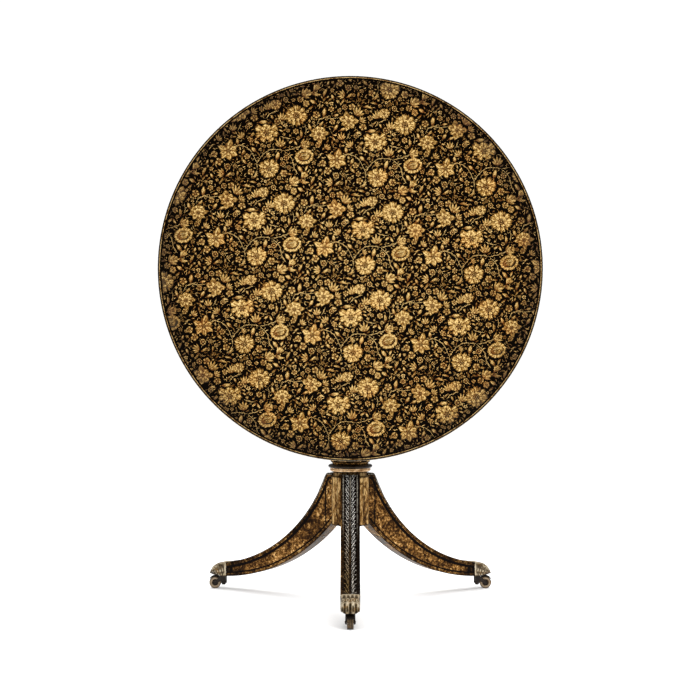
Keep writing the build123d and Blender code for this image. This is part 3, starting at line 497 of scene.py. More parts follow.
class Pattern:
    """Rows for petal_points, gathered by grid."""

    def __init__(self):
        self.rows = {"fine": [], "plain": [], "small": []}

    def petal(
        self, grid, x, y, angle, length, half, form=ROUND, notch=0.0, bend=0.0, layer=0, tone=0.62, high=0.16
    ):
        tone += rng.uniform(-0.05, 0.05)
        self.rows[grid].append((x, y, angle, length, half, *form, notch, bend, layer * LAYER, high, tone))

    def disc(self, x, y, wide, tall, layer=0, tone=0.5, turn=0.0, grid="plain", high=0.12):
        dx, dy = math.cos(turn) * wide / 2, math.sin(turn) * wide / 2
        self.petal(grid, x - dx, y - dy, turn, wide, tall / 2, DISC, layer=layer, tone=tone, high=high)

    def whorl(self, grid, x, y, count, start, inner, outer, half, squeeze=1.0, turn=0.0, wild=0.06, **more):
        """Petals round a centre, from the inner to the outer radius. squeeze flattens the ring."""
        c, s = math.cos(turn), math.sin(turn)
        for k in range(count):
            a = start + 2 * math.pi * k / count + rng.uniform(-wild, wild)
            ux, uy = math.cos(a), math.sin(a) * squeeze
            wx, wy = c * ux - s * uy, s * ux + c * uy
            length = (outer - inner) * math.hypot(wx, wy) * rng.uniform(1 - 1.6 * wild, 1 + wild)
            wide = half * rng.uniform(1 - 2 * wild, 1 + 2 * wild)
            self.petal(grid, x + inner * wx, y + inner * wy, math.atan2(wy, wx), length, wide, **more)

    def fan(self, x, y, petals, start=2.0, **more):
        """Large petals given one by one as (angle in degrees, length, half width)."""
        for degrees, length, half in petals:
            a = math.radians(degrees)
            self.petal("fine", *onward(x, y, a, start), a, length - start, half, **more)


def heart(p, x, y, size, layer, squeeze=1.0):
    """The middle of a large flower: a dark ring, a ring of grey-gold dots and a light centre."""
    p.disc(x, y, size, size * squeeze, layer, 0.16)
    p.whorl(
        "small", x, y, 8, 0.2, size * 0.24, size * 0.46, size * 0.115, squeeze, form=DISC, layer=layer + 1,
        tone=0.66
    )
    p.disc(x, y, size * 0.34, size * 0.34 * squeeze, layer + 2, 0.20, grid="small")
    p.disc(x, y, size * 0.20, size * 0.20, layer + 3, 0.80, grid="small")


def oval_flower(p, x, y, size=45.0, tall=36.5, turn=0.20):
    """An oval head with a frilled edge, a brown ring and a paler oval lying across it."""
    r, squeeze = size / 2, tall / size
    p.disc(x, y, size * 0.86, tall * 0.86, 0, 0.50, turn, "fine", high=0.08)
    p.whorl(
        "plain", x, y, 15, 0.1, r * 0.42, r * 1.04, 5.4, squeeze, turn, wild=0.05, notch=0.1, layer=1,
        tone=0.70
    )
    p.disc(x, y, size * 0.68, tall * 0.60, 3, 0.34, turn + 0.05, "fine", high=0.08)
    p.disc(x, y, size * 0.64, tall * 0.50, 4, 0.72, turn + 0.12, "fine", high=0.12)
    lean = turn + 0.18
    for shift, reach in ((-5.0, 0.24), (-2.4, 0.40), (0.2, 0.48), (2.8, 0.40), (5.2, 0.24)):
        start = onward(*onward(x, y, lean + math.pi / 2, shift), lean, -reach * r)
        p.petal("small", *start, lean, 2 * reach * r, 0.6, LEAFY, bend=0.08, layer=6, tone=0.22)


def star_flower(p, x, y):
    p.whorl("plain", x, y, 7, 0.9, 7.0, 22.0, 3.0, wild=0.1, form=LEAFY, layer=0, tone=0.34)
    p.disc(x, y, 29.0, 29.0, 0, 0.44)
    petals = (
        (75, 28, 7.4), (155, 27, 7.0), (22, 22, 7.4), (-30, 25, 7.4), (-82, 23, 7.2), (-132, 25, 7.0),
        (198, 20, 6.4),
    )
    p.fan(x, y, petals, start=5.0, form=POINTED, layer=1, tone=0.70)
    p.whorl("plain", x, y, 6, 0.5, 2.4, 13.0, 3.0, form=ROUND, notch=0.3, layer=3, tone=0.82)
    heart(p, x, y, 8.0, 5)


def rosette(p, x, y, size=44.0, count=8, turn=0.2):
    r = size / 2
    p.disc(x, y, 1.5 * r, 1.5 * r, 0, 0.26)
    p.whorl(
        "plain", x, y, count, turn + math.pi / count, r * 0.5, r * 1.10, r * 0.13, wild=0.1, form=LEAFY,
        layer=0, tone=0.50
    )
    p.whorl(
        "fine", x, y, count, turn, r * 0.30, r * 1.06, 2.10 * r / count, wild=0.10, notch=0.26, layer=1,
        tone=0.72
    )
    p.disc(x, y, 1.10 * r, 1.10 * r, 2, 0.34, high=0.1)
    p.whorl(
        "plain", x, y, count - 2, turn + 0.4, r * 0.18, r * 0.64, 2.0 * r / count, wild=0.12, notch=0.26,
        layer=4, tone=0.82
    )
    heart(p, x, y, r * 0.52, 6)


def peony(p, x, y):
    p.disc(x, y, 42.0, 34.0, 0, 0.42)
    outer = (
        (34, 31, 8.2), (148, 31, 8.4), (92, 22, 7.8), (190, 27, 6.8), (-8, 28, 6.8), (-56, 24, 7.6),
        (-122, 24, 7.6),
    )
    inner = (
        (62, 19, 5.6), (122, 19, 5.6), (176, 18, 5.0), (6, 18, 5.0), (-40, 16, 5.6), (-90, 15, 5.6),
        (-142, 16, 5.6),
    )
    p.fan(x, y, outer, start=9.0, notch=0.30, layer=1, tone=0.72)
    p.disc(x, y, 29.0, 24.0, 2, 0.34, high=0.1)
    p.fan(x, y, inner, start=4.0, notch=0.26, layer=4, tone=0.80)
    p.disc(x, y, 16.0, 14.0, 5, 0.30, high=0.1)
    p.whorl("plain", x, y, 6, 0.5, 3.4, 10.5, 2.7, notch=0.2, layer=7, tone=0.70)
    heart(p, x, y, 8.6, 8)


def spray(p, x, y, lobes):
    """A leafy flower drawn as lobes, each with its angle in degrees, length, half width and form."""
    swirl = 0.1
    p.disc(x, y, 19.0, 19.0, 0, 0.34)
    for degrees, length, half, form in lobes:
        a = math.radians(degrees)
        p.petal("fine", *onward(x, y, a, 2), a, length, half, form, bend=swirl, layer=1, tone=0.68)
        for side in (-1, 1):
            middle = onward(x, y, a, 0.42 * length)
            lean = a + side * 0.55
            p.petal(
                "small", *middle, lean, length * 0.46, half * 0.34, LEAFY, bend=-0.2 * side, layer=2, tone=0.50
            )
        a += 0.35
        p.petal(
            "plain", *onward(x, y, a, 2.5), a, length * 0.5, half * 0.42, form, bend=-swirl, layer=3, tone=0.84
        )
    heart(p, x, y, 7.0, 5)


def curl_bell(p, x, y):
    """A bell on its side with a hooked tip and a pair of leaves below."""
    p.petal("fine", x - 9, y - 10, 0.95, 20.0, 6.4, ROUND, notch=0.1, bend=-0.15, layer=1, tone=0.70)
    p.petal("plain", x - 8, y - 11, 1.25, 17.0, 2.6, LEAFY, bend=0.25, layer=3, tone=0.82)
    p.petal("plain", x - 6, y - 10, 0.65, 17.0, 2.6, LEAFY, bend=-0.2, layer=3, tone=0.60)
    p.petal("plain", x + 4, y + 3, 0.45, 9.0, 1.3, LEAFY, bend=0.5, tone=0.84)
    p.petal("small", x + 12, y + 6, -1.3, 6.0, 1.1, LEAFY, bend=-0.5, tone=0.84)
    for side in (-1, 1):
        p.petal("plain", x - 9, y - 12, -1.57 + 0.8 * side, 11.0, 2.3, LEAFY, bend=0.3 * side, tone=0.62)


def floret(p, x, y, size, count=5, turn=0.3, tone=0.66):
    """A small open flower with pointed petals round a brown eye."""
    r = size / 2
    grid = "plain" if size > 13 else "small"
    p.whorl(
        grid, x, y, count, turn, r * 0.16, r * 1.10, 1.9 * r / count, wild=0.14, notch=0.16, layer=1, tone=tone
    )
    if size > 13:
        p.whorl("small", x, y, count, turn + 0.6, r * 0.5, r * 1.02, r * 0.12, form=LEAFY, tone=tone - 0.25)
    p.disc(x, y, r * 0.50, r * 0.50, 2, 0.26, grid="small")
    p.disc(x, y, r * 0.22, r * 0.22, 4, 0.80, grid="small")


def ring_flower(p, x, y, size):
    r = size / 2
    p.disc(x, y, r * 1.3, r * 1.3, 0, 0.14, grid="small")
    p.whorl("small", x, y, 7, 0.2, r * 0.50, r, 1.7 * r / 5, wild=0.1, tone=0.70, layer=1)
    p.disc(x, y, r * 0.50, r * 0.50, 1, 0.74, grid="small")


def bud(p, x, y, wide, tall, turn=1.57):
    c, s = math.cos(turn), math.sin(turn)
    x, y = x - c * tall / 2, y - s * tall / 2
    for side in (-1, 1):
        p.petal(
            "plain", x, y, turn + 0.34 * side, tall * 0.90, wide * 0.22, LEAFY, bend=-0.26 * side, tone=0.62
        )
    p.petal("plain", x, y, turn, tall, wide * 0.24, POINTED, layer=2, tone=0.80)
    p.petal("small", x, y, turn + math.pi, tall * 0.24, wide * 0.10, LEAFY, tone=0.5)


def leaf(p, x, y, length, wide, turn=0.5, bend=0.15, tone=0.66):
    """A leaf with a toothed edge: one blade and, on longer leaves, two teeth on each side."""
    dx, dy = math.cos(turn), math.sin(turn)
    x, y = x - dx * length / 2, y - dy * length / 2
    p.petal(
        "plain" if length > 7 else "small", x, y, turn, length, wide * 0.42, LEAFY, bend=bend, layer=1,
        tone=tone
    )
    if length > 9:
        for k, side in enumerate((-1, 1, -1, 1)):
            t = (0.22, 0.34, 0.50, 0.62)[k]
            p.petal(
                "small", x + dx * length * t - dy * bend * length * t * t,
                y + dy * length * t + dx * bend * length * t * t,
                turn + 0.75 * side, wide * 0.78, wide * 0.14, LEAFY, bend=-0.2 * side, tone=tone - 0.08,
            )


def leaf_flower(p, x, y, wide, tall, turn=1.57, count=5):
    """A fan of pointed leaves over a small head."""
    size = max(wide, tall)
    c, s = math.cos(turn), math.sin(turn)
    bx, by = x - c * size * 0.42, y - s * size * 0.42
    for k in range(count):
        spread = (k - (count - 1) / 2) * 0.50
        length = size * (0.92 - 0.20 * abs(spread)) * rng.uniform(0.9, 1.05)
        p.petal(
            "plain", bx, by, turn + spread, length, size * 0.105, LEAFY, bend=-0.16 * spread, layer=1 + k % 2,
            tone=0.62 + 0.12 * (k % 2)
        )
    p.disc(bx + c * size * 0.12, by + s * size * 0.12, size * 0.20, size * 0.18, 4, 0.74, turn, "small")


def curl(p, x, y, size, turn, tone=0.7):
    """A thin curling tendril of two short strokes."""
    side = 1 if math.sin(9 * turn) > 0 else -1
    p.petal("plain", x, y, turn, size, size * 0.11, LEAFY, bend=0.55 * side, tone=tone)
    end = turn + 0.5 * side
    p.petal(
        "small", *onward(x, y, end, size), turn + 1.9 * side, size * 0.5, size * 0.10, LEAFY, bend=0.5 * side,
        tone=tone
    )


# One repeat of the pattern, in mm from its oval flower: x to the right, y up. Angles are in radians.
LATTICE = ((256.7, -21.5), (-29.1, -207.4))  # the two steps from one repeat to the next
ORIGIN = (-109.0, 264.0)  # one oval flower, from the middle of the disc
FLORETS = (  # x, y, size
    (157, 6, 9), (163, 3, 8), (173, 4, 9), (153, -4.5, 8), (44, -15, 16), (122, -21, 14), (56, -33, 17),
    (128, -41, 13), (-22, -56, 18), (37, -50, 10), (131, -57, 16), (209, -61.5, 18), (197, -71.5, 11),
    (-25, -80.5, 16), (84.5, -90, 16), (35, -95, 14), (0, -108, 18), (54, -98, 11), (202, -95, 10),
    (218.5, -94, 16), (232, -104, 16), (127, -116, 13), (110, -137, 17), (37.5, -124, 14), (103, -190, 11),
    (3, -180, 14), (-24, -178, 17), (208, -169, 14), (98, -187, 11), (189.5, -167, 9), (35, -19, 8),
    (213, -185.5, 9),
)
RINGS = (  # x, y, size
    (214, -24, 14), (75.5, -45, 15), (93, -43, 10), (107, -52.5, 10), (206, -39, 14), (220, -47, 10),
    (67, -90.5, 14), (184, -94, 13), (165, -146, 17), (94, -158, 13), (88, -62, 8), (150, -88, 9),
)
BUDS = (  # x, y, width, height, turn
    (137, -4, 16, 14, 2.4), (27.5, -33.5, 9, 11, 1.2), (38, -66, 10, 12, 2.0), (-9, -77, 14, 16, 2.6),
    (18.5, -102, 14, 22, 1.4), (46.5, -109.5, 8, 14, 0.2), (46, -138, 13, 16, 1.0), (-16, -137, 11, 16, 1.9),
    (62, -143, 9, 16, 0.4), (131, -147, 11, 22, 0.1), (70, -192, 13, 14, 1.7), (194, -19, 16, 20, 1.3),
    (-10, -29, 14, 18, 2.2),
)
LEAVES = (  # x, y, length, width, turn, bend
    (113.5, -12, 16, 8, 0.9, 0.2), (115, -33.5, 14, 8, 2.5, -0.2), (79, -65, 18, 7, 0.3, 0.35),
    (0, -62, 22, 8, -0.3, 0.2), (18.5, -55, 22, 8, 1.4, -0.25), (121, -88, 22, 8, 0.2, -0.35),
    (143, -68, 20, 6, 0.6, 0.35), (136, -80, 18, 6, 2.7, 0.2), (12, -131, 16, 7, 0.5, 0.3),
    (152, -135, 11, 6, 1.9, 0.1), (105, -176.5, 13, 8, 0.8, -0.2), (222, -175, 20, 8, 1.4, 0.2),
)
LEAF_FLOWERS = (  # x, y, width, height, turn
    (173, -18, 15, 14, 0.4), (58, -60, 22, 13, 2.9), (233, -79, 27, 20, 0.6), (100, -100.5, 20, 27, 1.2),
    (141.5, -108, 17, 24, 1.9), (110, -120, 16, 18, 0.7), (177, -133, 18, 24, 1.3), (59, -159, 20, 18, 1.6),
    (77, -177, 21, 19, 2.2), (27, -184, 18, 18, 0.9), (171, -195, 17, 27, 1.7), (231, -200, 27, 15, 0.3),
)
STEMS = (  # the points of each stem
    ((146, -52), (145, -37), (151.5, -26), (162, -14), (177, -5), (193, -4.5), (209, -7)),
    ((145, -37), (141, -28), (133, -12), (122.5, -1), (108, 5), (92, 4.5)),
    ((146, -52), (141, -64), (133, -71.5)),
    ((209, -7), (224, -4.5), (238, 0), (251, 4.5)),
    ((209, -7), (224, -21), (230, -33.5), (233, -48), (238, -59)),
    ((-28, -8), (-25, -21), (-20.5, -33.5), (-13, -42.5)),
    ((79, -147.5), (75.5, -158), (70, -167)),
    ((0, -133), (7, -120), (19, -115), (30, -111)),
    ((19, -115), (36, -117), (54, -115)),
    ((137, -138.5), (146, -128), (159, -122), (168, -120)),
    ((229, -151), (232, -164), (231, -176.5)),
    ((171, -180), (185, -185), (199, -187)),
)


TULIP_LOBES = (  # angle in degrees, length, half width, form
    (100, 24, 8.5, POINTED), (150, 22, 7.5, LEAFY), (-4, 23, 8, POINTED), (45, 15, 7, ROUND),
    (-55, 17, 7, ROUND), (-108, 21, 8, POINTED), (200, 16, 6, LEAFY),
)
LILY_LOBES = (
    (-86, 22, 6.5, POINTED), (-42, 18, 6.5, LEAFY), (-135, 17, 6.5, LEAFY), (88, 17, 8, ROUND),
    (42, 17, 8, ROUND), (136, 18, 8, ROUND), (2, 23, 6, POINTED), (182, 22, 6, POINTED),
)


def one_repeat():
    """All motifs of one repeat of the pattern."""
    p = Pattern()
    oval_flower(p, 0, 0)
    star_flower(p, 77, -7)
    rosette(p, 173, -49, 46.0, 8, 0.35)
    spray(p, 75.5, -124, TULIP_LOBES)
    spray(p, 6, -154, LILY_LOBES)
    rosette(p, 209, -132, 49.0, 9, 0.1)
    peony(p, 139, -173)
    curl_bell(p, 2, -41)
    rosette(p, 160, -106, 25.0, 7, 0.1)
    for k, (x, y, size) in enumerate(FLORETS):
        floret(p, x, y, size, 5 + k % 2, 0.37 * k)
    for x, y, size in RINGS:
        ring_flower(p, x, y, size)
    for x, y, wide, tall, turn in BUDS:
        bud(p, x, y, wide, tall, turn)
    for x, y, length, wide, turn, bend in LEAVES:
        leaf(p, x, y, length, wide, turn, bend)
    for x, y, wide, tall, turn in LEAF_FLOWERS:
        leaf_flower(p, x, y, wide, tall, turn)
    for line in STEMS:
        line = smooth_line(line)
        for k in range(3, len(line) - 3, 4):
            ahead = line[k + 1] - line[k]
            side = 1 if (k // 4) % 2 else -1
            curl(p, *line[k], 6.0, math.atan2(ahead[1], ahead[0]) + 0.8 * side, 0.74)
    return p


def smooth_line(points, step=1.6):
    """Catmull-Rom line through points, as evenly spread points."""
    pts = np.asarray(points, float)
    ends = np.vstack([2 * pts[0] - pts[1], pts, 2 * pts[-1] - pts[-2]])
    line = []
    for a, b, c, d in zip(ends, ends[1:], ends[2:], ends[3:]):
        count = max(2, int(np.linalg.norm(c - b) / step))
        square, cube = 2 * a - 5 * b + 4 * c - d, 3 * b - a - 3 * c + d
        for t in np.arange(count) / count:
            line.append(0.5 * (2 * b + (c - a) * t + square * t**2 + cube * t**3))
    line.append(pts[-1])
    return np.array(line)


def stem_mesh(line, half=0.55, high=0.5):
    """A low closed ridge along a line, narrower at both ends: points (x, y, height), faces and paint."""
    count = len(line)
    ahead = np.gradient(line, axis=0)
    ahead /= np.linalg.norm(ahead, axis=1)[:, None] + 1e-9
    side = np.stack([-ahead[:, 1], ahead[:, 0]], 1)
    taper = np.clip(np.minimum(np.arange(count), np.arange(count)[::-1]) / 3.0, 0.25, 1.0)[:, None]
    ring = [(-1.0, -0.12), (-0.72, 0.6), (0.0, 1.0), (0.72, 0.6), (1.0, -0.12)]
    points, paint = [], []
    for offset, lift in ring:
        place = line + side * offset * half * taper
        height = np.full((count, 1), lift * high if lift > 0 else lift)
        points.append(np.hstack([place, height]))
        paint.append(
            np.stack([np.full(count, 0.55 * abs(offset)), np.full(count, 0.5), np.full(count, 0.86)], 1)
        )
    points, paint = np.stack(points, 1), np.stack(paint, 1)
    faces, wide = [], len(ring)
    for j in range(count - 1):
        for i in range(wide):
            n = (i + 1) % wide
            faces.append((j * wide + i, (j + 1) * wide + i, (j + 1) * wide + n, j * wide + n))
    faces.append(tuple(range(wide)))
    faces.append(tuple((count - 1) * wide + i for i in range(wide - 1, -1, -1)))
    return points.reshape(-1, 3), faces, paint.reshape(-1, 3)


def lattice_shifts(margin=45.0):
    """Where the repeats sit on the disc, in mm from its centre."""
    a, b = np.array(LATTICE)
    found = []
    for i in range(-5, 6):
        for j in range(-5, 6):
            shift = np.array(ORIGIN) + i * a + j * b
            middle = shift + (110, -90)
            if np.linalg.norm(middle) < PATTERN_RADIUS + 175 + margin:
                found.append(shift)
    return found


def fill_leaves(p):
    """Small leaves, dots and curls in the gaps of one repeat. A grid over the repeat says what is taken."""
    a, b = np.array(LATTICE)
    back = np.linalg.inv(np.stack([a, b], 1))
    size = 260
    taken = np.zeros((size, size), bool)

    def mark(x, y, radius):
        reach = int(radius) + 1
        for dx in np.arange(-reach, reach + 1, 0.8):
            span = math.sqrt(max(radius**2 - dx**2, 0))
            ys = np.arange(-span, span + 0.4, 0.8)
            cell = (back @ np.stack([np.full_like(ys, x + dx), y + ys])) % 1.0
            taken[(cell[0] * size).astype(int), (cell[1] * size).astype(int)] = True

    for rows in p.rows.values():
        for x, y, angle, length, half, *_ in rows:
            for t in (0.2, 0.5, 0.8):
                mark(
                    x + t * length * math.cos(angle), y + t * length * math.sin(angle),
                    min(half, length * 0.3) * 0.9 + 0.5
                )
    for line in STEMS:
        for x, y in smooth_line(line, 2.0):
            mark(x, y, 1.4)
    for need, tries in ((7.0, 900), (5.2, 1400), (3.8, 1900), (2.8, 2200)):
        for _ in range(tries):
            s, t = rng.uniform(0, 1, 2)
            x, y = s * a + t * b
            probe = [(x, y)]
            for k in np.arange(0, 6.28, 0.9):
                probe.append((x + need * 0.62 * math.cos(k), y + need * 0.62 * math.sin(k)))
            cell = (back @ np.array(probe).T) % 1.0
            if taken[(cell[0] * size).astype(int), (cell[1] * size).astype(int)].any():
                continue
            turn = rng.uniform(0, 6.28)
            tone = rng.choice((0.40, 0.56, 0.68, 0.80))
            kind = rng.integers(6)
            if need > 5 and kind == 0:
                floret(p, x, y, need * 1.4, 5, turn, tone + 0.1)
            elif need > 5 and kind == 1:
                leaf_flower(p, x, y, need * 1.5, need * 1.5, turn, 3)
            elif need > 3 and kind < 4:
                curl(
                    p, x - 0.4 * need * math.cos(turn), y - 0.4 * need * math.sin(turn), need * 1.3, turn,
                    tone + 0.1
                )
            else:
                leaf(p, x, y, need * 2.0, need * 0.85, turn, rng.uniform(-0.35, 0.35), tone)
            mark(x, y, need * 0.64)


def trimmed(points, faces, paint):
    """Cuts a closed mesh with the plane that touches the pattern's edge there, and closes the cut."""
    middle = points[:, :2].mean(0)
    outward = middle / np.linalg.norm(middle)
    bm = bmesh.new()
    layers = [bm.verts.layers.float.new(key) for key in ("u", "v", "t")]
    made = [bm.verts.new(p) for p in points]
    for vert, values in zip(made, paint):
        for layer, value in zip(layers, values):
            vert[layer] = value
    for face in faces:
        bm.faces.new([made[i] for i in face])
    geometry = bm.verts[:] + bm.edges[:] + bm.faces[:]
    plane = (outward[0] * PATTERN_RADIUS, outward[1] * PATTERN_RADIUS, 0)
    cut = bmesh.ops.bisect_plane(
        bm, geom=geometry, plane_co=plane, plane_no=(outward[0], outward[1], 0), clear_outer=True
    )
    edges = [g for g in cut["geom_cut"] if isinstance(g, bmesh.types.BMEdge)]
    bmesh.ops.holes_fill(bm, edges=edges, sides=0)
    bm.verts.index_update()
    points = np.array([v.co for v in bm.verts]).reshape(-1, 3)
    paint = np.array([[v[layer] for layer in layers] for v in bm.verts]).reshape(-1, 3)
    faces = [tuple(v.index for v in f.verts) for f in bm.faces]
    bm.free()
    return points, faces, paint


def disc_to_frame(points):
    """From (x, y, height) in mm on the disc to the frame in metres."""
    out = np.empty_like(points)
    out[:, 0] = points[:, 0] * MM
    out[:, 1] = FACE_Y - points[:, 2] * MM
    out[:, 2] = (points[:, 1] + TOP_Z) * MM
    return out


class Heap:
    """Gathers many small closed meshes into one."""

    def __init__(self):
        self.points, self.faces, self.paint, self.count, self.triangles = [], [], [], 0, 0

    def add(self, points, faces, paint):
        self.points.append(points)
        self.paint.append(paint)
        self.faces.extend(tuple(i + self.count for i in f) for f in faces)
        self.count += len(points)
        self.triangles += sum(len(f) - 2 for f in faces)


def flower_top():
    """The gold flowers of the top, in pieces that stay under 200,000 triangles."""
    repeat = one_repeat()
    fill_leaves(repeat)
    heaps = [Heap()]

    def add(points, faces, paint):
        if heaps[-1].triangles > PIECE_TRIANGLES:
            heaps.append(Heap())
        heaps[-1].add(points, faces, paint)

    for shift in lattice_shifts():
        for grid, rows in repeat.rows.items():
            faces = TOPOLOGY[grid][3]
            moved = np.array(rows)
            moved[:, :2] += shift
            moved[:, -1] += rng.uniform(-0.04, 0.04)
            near = np.hypot(moved[:, 0], moved[:, 1]) < PATTERN_RADIUS + 30
            if not near.any():
                continue
            points, paint = petal_points(moved[near], grid)
            reach = np.hypot(points[..., 0], points[..., 1])
            for one, colour, far in zip(points, paint, reach):
                if far.max() < PATTERN_RADIUS:
                    add(one, faces, colour)
                elif far.min() < PATTERN_RADIUS - 1.0:
                    add(*trimmed(one, faces, colour))
        for line in STEMS:
            line = smooth_line(np.array(line) + shift)
            line = line[np.hypot(line[:, 0], line[:, 1]) < PATTERN_RADIUS - 1.0]
            if len(line) > 5:
                add(*stem_mesh(line))
    for k, heap in enumerate(heaps):
        make_object(
            f"top_flowers_{k + 1}", disc_to_frame(np.vstack(heap.points)), heap.faces, GOLD, "top",
            values={"petal": np.vstack(heap.paint)},
        )


flower_top()


# ---------------------------------------------------------------- shared shapes of legs and turnings
def closed_grid(grid):
    """Points and faces of a closed tube from an array of rings (ring, point, xyz), with flat ends."""
    rings, wide, _ = grid.shape
    at = np.arange(rings * wide).reshape(rings, wide)
    right = np.roll(at, -1, axis=1)
    quads = np.stack([at[:-1], right[:-1], right[1:], at[1:]], -1).reshape(-1, 4)
    points = grid.reshape(-1, 3)
    a, b, c, d = (points[quads[:, k]] for k in range(4))
    inside_out = np.einsum("ij,ij->i", np.cross(c - a, d - b), (a + c) / 2 - points.mean(0)).sum() < 0
    faces = [tuple(int(i) for i in q) for q in (quads[:, ::-1] if inside_out else quads)]
    first, last = [int(i) for i in at[0]], [int(i) for i in at[-1]]
    faces.append(tuple(first if inside_out else first[::-1]))
    faces.append(tuple(last[::-1] if inside_out else last))
    return points, faces


def lathe(name, rows, segments, shape, material, node):
    """A turned piece of the pedestal. rows are (radius, height) in mm from one end to the other.
    shape(angle, radius, height) returns the carved radius and how gilt each point is."""
    rows = np.asarray(rows, float)
    angle = np.linspace(0, 2 * math.pi, segments + 1)[:-1]
    radius, height = rows[:, :1] + 0 * angle, rows[:, 1:] + 0 * angle
    carved, gilt = shape(0 * radius + angle, radius, height)
    points, faces = closed_grid(np.stack([carved * np.cos(angle), carved * np.sin(angle), height], -1) * MM)
    values = {"gilt": (gilt + 0 * carved).ravel()}
    make_object(name, points, faces, material, "pedestal", (node,), values)


def profile_line(points, step=2.0):
    """Straight runs between (radius, height) points, cut into short steps."""
    rows = []
    for (r0, h0), (r1, h1) in zip(points, points[1:]):
        count = max(1, int(math.hypot(r1 - r0, h1 - h0) / step))
        rows += [(r0 + (r1 - r0) * k / count, h0 + (h1 - h0) * k / count) for k in range(count)]
    return rows + [points[-1]]


# ---------------------------------------------------------------- legs
# The curves along the top and the bottom: centre as distance from the axis and height, and radius, in mm.
TOP_ARC = (410.6, 443.8, 378.0)
BOTTOM_ARC = (379.0, 485.5, 451.7)
LEG_START, LEG_END, LEG_HEAD = 38.0, 354.0, 310.0
AZIMUTHS = {"front": -90.0, "left": 150.0, "right": 30.0}
SHOULDER_REACH, SHOULDER_DROP = 14.0, 3.5  # of the rounding between the flat head and the curve
CHANNEL = 2.5  # depth of the carved channels along the top
CHANNEL_MIDDLE = 8.35  # from the middle of the top to the middle of a channel
LEAF_PAIRS = 29


def arc_height(arc, out, offset=0.0):
    return arc[1] - np.sqrt((arc[2] + offset) ** 2 - (out - arc[0]) ** 2)


def head_height(out, offset=0.0):
    """Height of a line that runs below the top of a leg at a fixed distance, with the rounded shoulder."""
    flat, curve = LEG_HEAD - offset, arc_height(TOP_ARC, out, offset)
    near = unit(1 - np.abs(flat - curve) / SHOULDER_REACH)
    return np.minimum(flat, curve) - SHOULDER_DROP * near**2


def leg_stations(step=1.05):
    """Distances from the axis, evenly spread along the top edge, with their lengths and outward normals."""
    fine = np.linspace(LEG_START, LEG_END, 4000)
    length = np.concatenate([[0], np.cumsum(np.hypot(np.diff(fine), np.diff(head_height(fine))))])
    even = np.linspace(0, length[-1], int(length[-1] / step))
    out = np.interp(even, length, fine)
    height = head_height(out)
    ahead = np.stack([np.gradient(out), np.gradient(height)], -1)
    ahead /= np.linalg.norm(ahead, axis=1)[:, None]
    return even, out, height, np.stack([-ahead[:, 1], ahead[:, 0]], -1)


def leg_top_section(q):
    """Depth below the top and gilding across the top face; q is the distance from its middle, out of 23."""
    depth = np.full_like(q, CHANNEL)
    gilt = np.zeros_like(q)
    rib = q < 2.3
    depth[rib] = 0.5 + 0.9 * (q[rib] / 2.3) ** 2
    gilt[rib] = 0.12
    bead = (q > 14.4) & (q < 19.1)
    depth[bead] = 1.5 - 1.3 * np.sqrt(unit(1 - ((q[bead] - 16.75) / 2.4) ** 2))
    gilt[bead] = 0.10
    groove = (q >= 19.1) & (q <= 19.8)
    depth[groove] = 1.7
    edge = q > 19.8
    depth[edge] = 0.35 + 1.5 * ((q[edge] - 19.8) / 3.2) ** 2.5
    gilt[edge] = 0.50
    return depth, gilt


def leg_side_section(d, e, out, length):
    """Inset and gilding of the side faces. d is measured from the top edge, e from the bottom edge."""
    inset, gilt = 2.2 + 0 * d, 1.0 + 0 * d
    rope = 0.5 + 0.5 * np.sin(2 * math.pi * (length + 1.4 * d) / 6.2)
    parts = (
        # where it applies, inset, gilding
        (between(out, 0, 55.0), 0.4, 0.95),
        (between(out, 55.0, 59.4), 2.6, 0.0),
        (between(out, 333.0, 341.0), 2.1, 0.0),
        (between(out, 341.0, 345.4), 0.5 + 0.12 * (out - 343.2) ** 2, 0.30),
        (between(out, 345.4, 400.0), 1.2, 0.04),
        (between(e, 7.4, 11.4), 2.7, 0.0),
        (between(e, 6.3, 7.4), 0.4, 1.0),
        (between(e, 1.6, 6.3), 0.7, 0.62),
        (between(e, -9.0, 1.6), 0.5, 0.0),
        (between(d, 8.6, 15.4), 1.6 + 0.9 * unit((d - 8.6) / 6.8) ** 0.5, 0.0),
        (between(d, 7.0, 8.6), 0.7, 1.0),
        (between(d, 5.9, 7.0), 2.0, 0.0),
        (
            between(d, 1.8, 5.9), 1.4 - 1.15 * np.sqrt(unit(1 - ((d - 3.9) / 2.2) ** 2)) + 0.25 * rope,
            0.25 + 0.60 * rope
        ),
        (between(d, -9.0, 1.8), 0.9, 0.0),
    )
    for share, deep, gold in parts:
        inset = inset + (deep - inset) * share
        gilt = gilt + (gold - gilt) * share
    return inset, gilt * (1 - 0.55 * smoothstep(out, 285, 340))


def to_frame(azimuth, out, across, height):
    """From distance from the axis, sideways place and height in mm to the frame in metres."""
    a = math.radians(azimuth)
    x = out * math.cos(a) - across * math.sin(a)
    y = out * math.sin(a) + across * math.cos(a)
    return np.stack([x, y, height], -1) * MM


